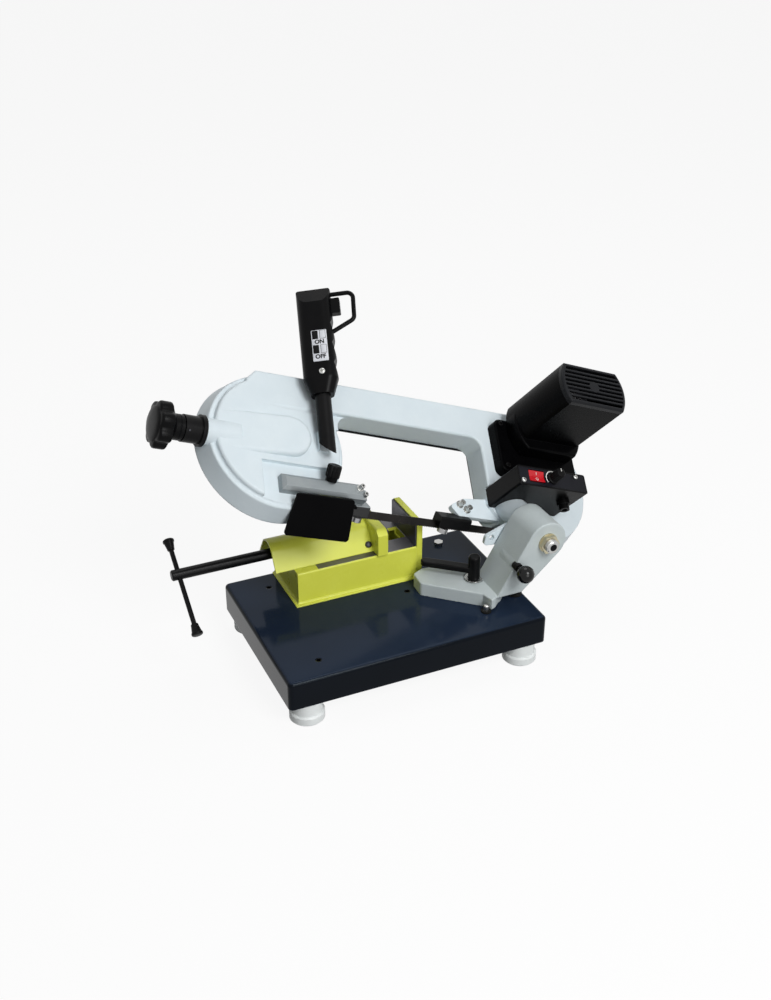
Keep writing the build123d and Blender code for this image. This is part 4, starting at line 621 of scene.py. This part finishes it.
dress(blacked, "back_cover")
cover_n = -15.5
cover_ring = 101.0
cover_edge = 96.0
tension_angle = np.radians([35, 80, 130, 180, 230, 275, 320])
drive_angle = np.radians([-70, -25, 20, 65])
cover_spots = [(tension_x + cover_ring * np.cos(a), cover_ring * np.sin(a)) for a in tension_angle]
cover_spots += [(cover_ring * np.cos(a), cover_ring * np.sin(a)) for a in drive_angle]
cover_spots += [(x, cover_edge) for x in (-330.0, -215.0, -105.0)]
cover_heads = [cross_head(4.0, bow(x, v, cover_n), -out_way, across) for x, v in cover_spots]
skin("cover_screws", cover_heads, zinc, "bow")


# Guides. The fixed guide hangs under the column and the sliding one on a bar of grey anodised metal;
# each holds the blade between two hardened rollers, and socket screws fix them.
anodised = finish(
    "grey_anodised", tone=colour(152, 158, 160), shade=colour(138, 145, 148), rough=(0.34, 0.46),
    grain=(1300.0, 0.00003), edge=0.0009,
    edge_wear_and_highlight=colour(196, 196, 200), share=0.45, dust=0.05, uniform={"Metallic": 0.55},
)


def guide_finish():
    """The grey of the bar, with the head that hangs from it blacked: a mask of the distance across the
    bow takes the black values below the bar."""
    bar_foot, blur = -0.0865, 0.0002
    head_black = colour(14, 14, 15)
    look = anodised.copy()
    look.name = "grey_anodised_black_head"
    tree = look.node_tree
    shader = tree.nodes["Principled BSDF"]
    place = put(tree, "TexCoord").outputs["Object"]
    level = put(tree, "VectorMath", {0: place, 1: tuple(across)}, operation="DOT_PRODUCT").outputs["Value"]
    edge = float(np.dot(hub, across)) + bar_foot
    black = spread(tree, level, edge - blur, edge + blur, 1.0, 0.0)
    grey = shader.inputs["Base Color"].links[0].from_socket
    metal = shader.inputs["Metallic"].default_value
    tree.links.new(between(tree, black, grey, head_black), shader.inputs["Base Color"])
    tree.links.new(spread(tree, black, 0.0, 1.0, metal, 0.0), shader.inputs["Metallic"])
    return look


dress(blacked, "fixed_guide")
dress(guide_finish(), "guide_arm")
dress(zinc, "guide_screws")
dress(turned_steel, "fixed_roller_front", "fixed_roller_back", "sliding_roller_front", "sliding_roller_back")


def socket_head(size, tall, foot, axis, around=48):
    """Cap screw: a knurled cylinder with a bevelled top, and a six-sided socket, whose radius at an angle
    is its flat's distance / cos of the angle from the middle of that flat."""
    flat_share, knurl_depth = 0.46, 0.035
    angle = np.linspace(0.0, 2.0 * np.pi, around, endpoint=False)
    round_ring = np.full(around, size)
    flat = flat_share * size / np.cos((angle % (np.pi / 3)) - np.pi / 6)
    knurl = size * (1.0 - knurl_depth * (np.arange(around) % 2))
    radius = np.stack([knurl, knurl, 0.98 * round_ring, 0.86 * round_ring, flat * 1.06, flat, flat])
    height = np.array([0.0, 0.86, 0.9, 1.0, 1.0, 0.95, 0.42]) * tall
    return turned(radius, height, foot, axis, around=around)


head_spots = [bow(-329.0, -66.5, 35.6), bow(-322.0, -76.0, 31.2)]
heads = [socket_head(3.6, 9.5, spot, out_way) for spot in head_spots]
heads += [washer(outer=5.2, inner=2.6, tall=1.1, foot=spot, axis=out_way) for spot in head_spots]
skin("guide_head_screws", heads, zinc, "guide_arm")
lug_spots = [bow(-142.0, -57.0, 12.9), bow(-130.5, -64.5, 12.9)]
lug_washers = [washer(outer=6.2, inner=4.4, tall=1.3, foot=spot, axis=out_way) for spot in lug_spots]
skin("guide_lug_washers", lug_washers, zinc, "bow")


# Blade guard. A black sheet plate in front of the blade's free run, with rounded corners, spot welded
# to the sliding guide.
guard_paint = finish(
    "guard_black_paint", tone=colour(5, 5, 6), shade=colour(8, 8, 9), rough=(0.36, 0.46),
    grain=(600.0, 0.00008), edge=0.0010,
    edge_wear_and_highlight=colour(60, 60, 60), share=0.35, dust=0.01, uniform={"Specular IOR Level": 0.03},
)
dress(guard_paint, "blade_guard")


# Clamp knob. Black moulded knob with straight ribs that locks the guide bar; its stud screws through
# the casting's pad.
clamp_root = bow(tension_x + 69.5, -60.5, 33.5)
clamp_way = (across + out_way) / np.sqrt(2.0)


def ribbed(radius, height, ribs, depth, share, foot, axis, zero, around):
    """Turned rings whose radius dips between ribs: radius - share * depth * (1 - cos(ribs a)) / 2."""
    angle = np.linspace(0.0, 2.0 * np.pi, around, endpoint=False)
    dip = depth * (1.0 - np.cos(ribs * angle)) / 2.0
    rings = np.asarray(radius)[:, None] - np.asarray(share)[:, None] * dip[None, :]
    return turned(rings, height, foot, axis, zero, around)


clamp_r = [4.5, 8.2, 8.4, 9.4, 10.3, 10.4, 10.4, 10.0, 9.0, 6.8, 6.2, 3.0]
clamp_h = [0.4, 0.4, 5.0, 6.2, 7.4, 9.0, 21.6, 23.0, 23.9, 24.2, 23.6, 23.4]
clamp_share = [0, 0, 0, 0.4, 1, 1, 1, 0.9, 0.5, 0, 0, 0]
clamp_rings = ribbed(
    clamp_r, clamp_h, ribs=14, depth=1.1, share=clamp_share,
    foot=clamp_root, axis=clamp_way, zero=across, around=112,
)
clamp = skin("clamp_knob_ribbed", [clamp_rings], moulded, "clamp_knob")
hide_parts("clamp_knob")


# Gearbox and motor. A black moulded gear case bolted to the column, the round motor housing flattened
# above and below, and its end cap with cooling slots.
# The motor plastic's lighter edge colour is a painted highlight along the housing's edges.
motor_black = finish(
    "motor_black_plastic", tone=colour(4, 4, 5), shade=colour(7, 7, 8), rough=(0.24, 0.32),
    grain=(1100.0, 0.00007), edge=0.0013,
    edge_wear_and_highlight=colour(38, 39, 42), share=0.4, uniform={"Specular IOR Level": 0.03},
)
dress(motor_black, "gearbox_cover", "motor_housing")
cap_black = finish(
    "cap_black_plastic", tone=colour(26, 27, 30), shade=colour(31, 32, 35), rough=(0.3, 0.4),
    grain=(1300.0, 0.00006), edge=0.0008,
    edge_wear_and_highlight=colour(58, 60, 64), share=0.4, uniform={"Specular IOR Level": 0.1},
)
dress(cap_black, "motor_grille")
case_n = 45.8
case_spots = ((-64.0, 4.0), (-64.0, 76.0), (62.0, 3.0))
case_bolts = [socket_head(4.0, 4.0, bow(x, v, case_n), out_way) for x, v in case_spots]
skin("gearbox_bolts", case_bolts, blacked, "bow")


# Switch box. A black moulded box beside the motor with a dark front panel, two plated screws, a red
# rocker with moulded marks and a speed dial with a printed scale.
panel_black = finish(
    "panel_dark_plastic", tone=colour(17, 18, 24), shade=colour(23, 24, 31), rough=(0.3, 0.4),
    grain=(1500.0, 0.00004), edge=0.0008,
    edge_wear_and_highlight=colour(60, 62, 70), share=0.3, dust=0.02, uniform={"Specular IOR Level": 0.1},
)
red_plastic = finish(
    "red_rocker_plastic", tone=colour(208, 22, 36), shade=colour(196, 18, 32), rough=(0.2, 0.32),
    grain=(1200.0, 0.00002), edge=0.0007,
)
white_print = finish(
    "white_print", tone=colour(236, 236, 232), shade=colour(226, 226, 222), rough=(0.4, 0.5),
    grain=(2000.0, 0.00001), edge=0.0003,
)
dress(moulded, "switch_box", "cable_gland", "rocker_cheeks")
dress(panel_black, "switch_panel")
dress(red_plastic, "rocker")
panel_n = 100.0
panel_v = -40.0
panel_proud = 1.5
panel_spots = ((-85.4, -50.4), (16.0, -31.6))
panel_heads = [cross_head(3.9, bow(x, v, panel_n + panel_proud), out_way, across) for x, v in panel_spots]
skin("panel_screws", panel_heads, zinc, "bow")


def stroke(path, wide, tall, frame_of):
    """A flat line of print: a rectangle carried along a path of (x, y) points, square to it at each, and
    sunk a little into the face that it is printed on."""
    sunk = -0.2
    path = np.asarray(path, float)
    way = np.gradient(path, axis=0)
    way = way / np.linalg.norm(way, axis=1, keepdims=True)
    side = np.stack([-way[:, 1], way[:, 0]], 1) * wide / 2
    flat = np.stack([path - side, path + side, path + side, path - side], 1)
    height = np.broadcast_to(np.array([sunk, sunk, tall, tall]), flat.shape[:2])
    return frame_of(flat[..., 0], flat[..., 1], height)


def panel_print(x, y, z):
    """Point on the panel: x along the bow, y up the panel from its middle, z out of it."""
    return bow(x, panel_v + y, panel_n + z)


dial_x = -28.0
scale_radius = 11.9
sweep = np.radians(np.linspace(62.0, 215.0, 40))
arc = np.stack([dial_x + scale_radius * np.cos(sweep), scale_radius * np.sin(sweep)], 1)
skin("dial_scale", [stroke(arc, 1.5, 0.12, panel_print)], white_print, "bow")
dial_r = [4.0, 9.6, 9.8, 9.6, 8.4, 8.2, 7.9, 7.4, 6.4, 3.0]
dial_h = [0.35, 0.35, 1.2, 2.6, 3.2, 4.0, 20.6, 21.6, 22.1, 22.2]
dial_share = [0, 0, 0, 0, 0.4, 1, 1, 0.7, 0.2, 0]
dial_root = bow(dial_x, panel_v, panel_n)
dial_rings = ribbed(
    dial_r, dial_h, ribs=18, depth=0.9, share=dial_share,
    foot=dial_root, axis=out_way, zero=across, around=108,
)
dial = skin("speed_dial_fluted", [dial_rings], moulded, "speed_dial")
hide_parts("speed_dial")


def dial_face(x, y, z):
    """Point on the dial's end, from its middle."""
    dial_top = 22.05
    return bow(dial_x + x, panel_v + y, panel_n + dial_top + z)


pointer_path = [[0.0, 1.5], [0.0, 4.0], [0.0, 6.6]]
skin("dial_pointer", [stroke(pointer_path, 1.2, 0.3, dial_face)], white_print, "speed_dial")


def rocker_half(side):
    """Frame on one half of the rocker's hollow face, at the place of its mark. The face rises from its
    middle by a fixed rise over a fixed run."""
    run, rise = 8.6, 1.6
    rocker_x, rocker_n, mark_off = -58.0, 98.8, 4.6
    flat, steep = np.array([run, rise]) / np.hypot(run, rise)

    def place(x, y, z):
        off = mark_off + y
        return bow(rocker_x + x, panel_v + side * (off * flat - z * steep), rocker_n + off * steep + z * flat)
    return place


ring_radius = 2.1
ring_way = np.linspace(0.0, 2.0 * np.pi, 33)
ring_path = np.stack([ring_radius * np.cos(ring_way), ring_radius * np.sin(ring_way)], 1)
bar_path = [[0.0, -2.2], [0.0, 0.0], [0.0, 2.2]]
rocker_marks = [stroke(ring_path, 0.7, 0.15, rocker_half(-1)), stroke(bar_path, 0.8, 0.15, rocker_half(1))]
skin("rocker_marks", rocker_marks, white_print, "rocker")


# Handle. A blacked steel rod set in the housing's pad, with a moulded grip pushed on its end, a spring
# trigger, a wire guard and a printed plate that shows which way is on.
dress(blacked, "handle_rod")
dress(moulded, "grip", "trigger", "trigger_guard")
grip_side = -np.array(joint["trigger_press"]["axis"])
rod_root = bow(tension_x + 66.5, -12.0, 41.0)
lean, slant = np.radians([8.0, 3.2])
rod_up = -np.sin(slant) * along + np.cos(slant) * (np.cos(lean) * across + np.sin(lean) * out_way)
grip_front = np.cross(grip_side, rod_up)


def on_grip(x, t, d):
    """Point of the grip in mm: x towards the trigger, t up the rod, d out of the printed face."""
    x, t, d = (np.asarray(a, float)[..., None] / 1000 for a in (x, t, d))
    return rod_root + x * grip_side + t * rod_up + d * grip_front


def plate(wide, tall, corner, low, high, place):
    """Flat plate with rounded corners: an outline of four quarter circles, carried from low to high, the
    upper edge drawn in a little."""
    steps = 7
    quarter = np.linspace(0.0, np.pi / 2, steps)
    angle = np.concatenate([quarter + k * np.pi / 2 for k in range(4)])
    cx = np.repeat([1, -1, -1, 1], steps) * (wide / 2 - corner)
    cy = np.repeat([1, 1, -1, -1], steps) * (tall / 2 - corner)
    level = np.array([low, high - 0.1, high])[:, None]
    bend = corner - np.array([0.0, 0.0, 0.15])[:, None]
    x, y = cx + bend * np.cos(angle), cy + bend * np.sin(angle)
    return place(x, y, np.broadcast_to(level, x.shape))


plate_look = finish(
    "legend_white_plastic", tone=colour(228, 230, 236), shade=colour(216, 219, 226), rough=(0.34, 0.44),
    grain=(1600.0, 0.00002), edge=0.0004,
)
ink = finish(
    "black_ink", tone=colour(10, 10, 11), shade=colour(14, 14, 15), rough=(0.5, 0.6),
    grain=(1800.0, 0.00001), edge=0.0003, uniform={"Specular IOR Level": 0.1},
)
face_d = 18.1
plate_tall = 0.5
plate_x = 4.2


def legend_at(x0, t0, d0):
    """Frame on the grip with its middle at (x0, t0), standing at d0."""
    return lambda x, y, z: on_grip(x0 + x, t0 + y, d0 + z)


legend_back = plate(22.0, 47.5, 1.0, -2.5, plate_tall, legend_at(plate_x, 147.8, face_d))
skin("legend_plate", [legend_back], plate_look, "bow")
print_d = face_d + plate_tall
left_x, right_x = -1.4, 9.4
rows = (164.4, 142.2)
square_spots = [(x, t) for x in (left_x, right_x) for t in rows]
squares = [plate(8.6, 13.0, 0.4, -0.2, 0.12, legend_at(x, t, print_d)) for x, t in square_spots]
skin("legend_squares", squares, ink, "bow")
blanks = [plate(7.6, 12.0, 0.3, 0.0, 0.2, legend_at(right_x, t, print_d)) for t in rows]
skin("legend_blanks", blanks, plate_look, "bow")


def lettering(name, words, size, middle):
    """Printed words: a flat text outline with a little depth, made a mesh and set on the grip's face."""
    depth, bold = 0.00006, 0.00004
    curve = bpy.data.curves.new(name, "FONT")
    curve.body, curve.size, curve.extrude, curve.offset = words, size / 1000, depth, size * bold
    curve.align_x, curve.align_y = "CENTER", "CENTER"
    draft = bpy.data.objects.new(name + "_draft", curve)
    bpy.context.scene.collection.objects.link(draft)
    bpy.context.view_layer.update()
    mesh = bpy.data.meshes.new_from_object(draft.evaluated_get(bpy.context.evaluated_depsgraph_get()))
    bpy.data.objects.remove(draft)
    place = Matrix((grip_side, rod_up, grip_front)).transposed().to_4x4()
    place.translation = Vector(on_grip(*middle))
    mesh.transform(place)
    mesh.materials.clear()
    finished(name, mesh, ink, "bow")


word_size = 8.6
word_d = face_d + 0.55
lettering("legend_on", "ON", word_size, (plate_x, 153.3, word_d))
lettering("legend_off", "OFF", word_size, (plate_x, 130.6, word_d))
grip_head = cross_head(4.6, on_grip(4.0, 108.5, face_d - 0.6), grip_front, rod_up)
skin("grip_screw", [grip_head], zinc, "bow")


# Tension knob. A black lobed hand knob with a domed cap on the screw that draws the tension wheel out;
# it turns in a sleeve that a grub screw holds in the housing's end.
dress(blacked, "tension_sleeve")


def lobed(radius, height, lobes, depth, share, foot, axis, zero, around):
    """Hand knob: radius * (1 - share * depth * w), where w = ((1 - cos(lobes a)) / 2) ** broad is nought
    on a lobe and one in the hollow between two."""
    broad = 1.6
    angle = np.linspace(0.0, 2.0 * np.pi, around, endpoint=False)
    w = ((1.0 - np.cos(lobes * angle)) / 2.0) ** broad
    rings = np.asarray(radius)[:, None] * (1.0 - np.asarray(share)[:, None] * depth * w[None, :])
    return turned(rings, height, foot, axis, zero, around)


knob_axis = -along
knob_n = 13.25
knob_foot = bow(-598.84, 0.0, knob_n)
knob_r = [6.0, 17.4, 18.0, 18.0, 17.2, 17.2, 18.0, 18.0, 20.0, 24.0, 28.0, 31.0,
          32.6, 33.0, 33.0, 32.4, 30.6, 28.0, 25.5, 24.6, 23.0, 18.5, 12.0, 5.0]
knob_h = [-13.9, -13.9, -13.4, -8.2, -7.8, -6.9, -6.5, -0.6, 0.8, 3.2, 5.0, 6.2,
          7.6, 9.6, 21.5, 23.4, 24.8, 25.4, 25.5, 26.2, 27.2, 28.2, 28.7, 28.95]
knob_share = [0, 0, 0, 0, 0, 0, 0, 0, 0, 0.2, 0.6, 0.85,
              1, 1, 1, 1, 0.95, 0.75, 0.4, 0.1, 0, 0, 0, 0]
knob_rings = lobed(
    knob_r, knob_h, lobes=7, depth=0.15, share=knob_share,
    foot=knob_foot, axis=knob_axis, zero=across, around=168,
)
knob = skin("tension_knob_lobed", [knob_rings], moulded, "tension_knob", crease=48.0)
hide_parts("tension_knob")
grub_v, grub_n = -11.0, 15.4
grub_way = grub_v * across + grub_n * out_way
grub = socket_head(1.3, 0.5, bow(-579.5, grub_v, knob_n + grub_n), grub_way)
skin("sleeve_grub_screw", [grub], ground_iron, "bow")
screw_r = [4.8, 5.0, 5.0, 4.8]
screw_h = [-140.0, -139.5, -6.0, -5.5]
draw_screw = turned(screw_r, screw_h, knob_foot, knob_axis, around=36)
skin("tension_screw", [draw_screw], turned_steel, "tension_knob")


# Stage. A pale floor without end in a white room, soft light from a lamp high in front, weaker ones low
# in front and high behind, and a camera standing where the photograph was taken from.
reach = 30.0
floor_corners = [(-reach, -reach, 0), (reach, -reach, 0), (reach, reach, 0), (-reach, reach, 0)]
floor_mesh = bpy.data.meshes.new("floor")
floor_mesh.from_pydata(floor_corners, [], [(0, 1, 2, 3)])
floor = bpy.data.objects.new("floor", floor_mesh)
bpy.context.scene.collection.objects.link(floor)


def seen_rays(tree):
    """1 for rays straight from the camera, off a shiny face or through a clear one, and 0 for the light
    that falls on things."""
    path = put(tree, "LightPath").outputs
    rays = {0: path["Is Camera Ray"], 1: path["Is Glossy Ray"]}
    seen = put(tree, "Math", rays, operation="MAXIMUM").outputs[0]
    return put(tree, "Math", {0: seen, 1: path["Is Transmission Ray"]}, operation="MAXIMUM").outputs[0]


floor_look = bpy.data.materials.new("pale_floor")
floor_look.use_nodes = True
tree = floor_look.node_tree
tree.nodes.remove(tree.nodes["Principled BSDF"])
seen = seen_rays(tree)
floor_bounce, floor_seen = (0.25, 0.25, 0.25, 1.0), (0.95, 0.95, 0.95, 1.0)
white = (1.0, 1.0, 1.0, 1.0)
glow_share = 0.91
pale = between(tree, seen, floor_bounce, floor_seen)
matte = put(tree, "BsdfDiffuse", {"Color": pale}).outputs[0]
glow = put(tree, "Emission", {"Color": white, "Strength": 1.0}).outputs[0]
mixed = put(tree, "MixShader", {0: times(tree, seen, glow_share), 1: matte, 2: glow}).outputs[0]
tree.links.new(mixed, tree.nodes["Material Output"].inputs["Surface"])
floor_mesh.materials.append(floor_look)

world = bpy.data.worlds.new("white_room")
bpy.context.scene.world = world
world.use_nodes = True
tree = world.node_tree
sky = tree.nodes["Background"]
sky.inputs["Color"].default_value = white
room_light = 0.16
tree.links.new(spread(tree, seen_rays(tree), 0.0, 1.0, first=room_light), sky.inputs["Strength"])


def lamp(name, place, aim, size, watts):
    """A round soft lamp that looks at aim."""
    light = bpy.data.lights.new(name, "AREA")
    light.shape, light.size, light.energy = "DISK", size, watts
    thing = bpy.data.objects.new(name, light)
    bpy.context.scene.collection.objects.link(thing)
    thing.location = place
    thing.rotation_mode = "QUATERNION"
    thing.rotation_quaternion = (Vector(aim) - Vector(place)).to_track_quat("-Z", "Y")


middle = (0.05, 0.05, 0.2)
lamp("key_lamp", (0.5, -2.1, 2.2), middle, size=1.3, watts=46.0)
lamp("front_lamp", (0.1, -2.8, 0.9), middle, size=1.6, watts=20.0)
lamp("back_lamp", (0.5, 0.9, 2.8), middle, size=1.6, watts=16.0)

az, el, roll = np.radians([-24.499, 29.258, 0.186])
back = np.array([np.sin(az) * np.cos(el), -np.cos(az) * np.cos(el), np.sin(el)])
level = np.cross(upright, back)
level = level / np.linalg.norm(level)
plumb = np.cross(back, level)
right = level * np.cos(roll) + plumb * np.sin(roll)
upward = plumb * np.cos(roll) - level * np.sin(roll)
film_mm, focal_px, picture_px = 36.0, 1289.65, 1000.0
lens = bpy.data.cameras.new("photo_view")
lens.sensor_width = film_mm
lens.lens = film_mm * focal_px / picture_px
lens.clip_end = 200.0
camera = bpy.data.objects.new("photo_view", lens)
bpy.context.scene.collection.objects.link(camera)
camera.location = (-0.656949, -1.450946, 1.136536)
camera.rotation_mode = "QUATERNION"
camera.rotation_quaternion = Matrix((right, upward, back)).transposed().to_quaternion()
bpy.context.scene.camera = camera
bpy.context.scene.view_settings.view_transform = "Standard"
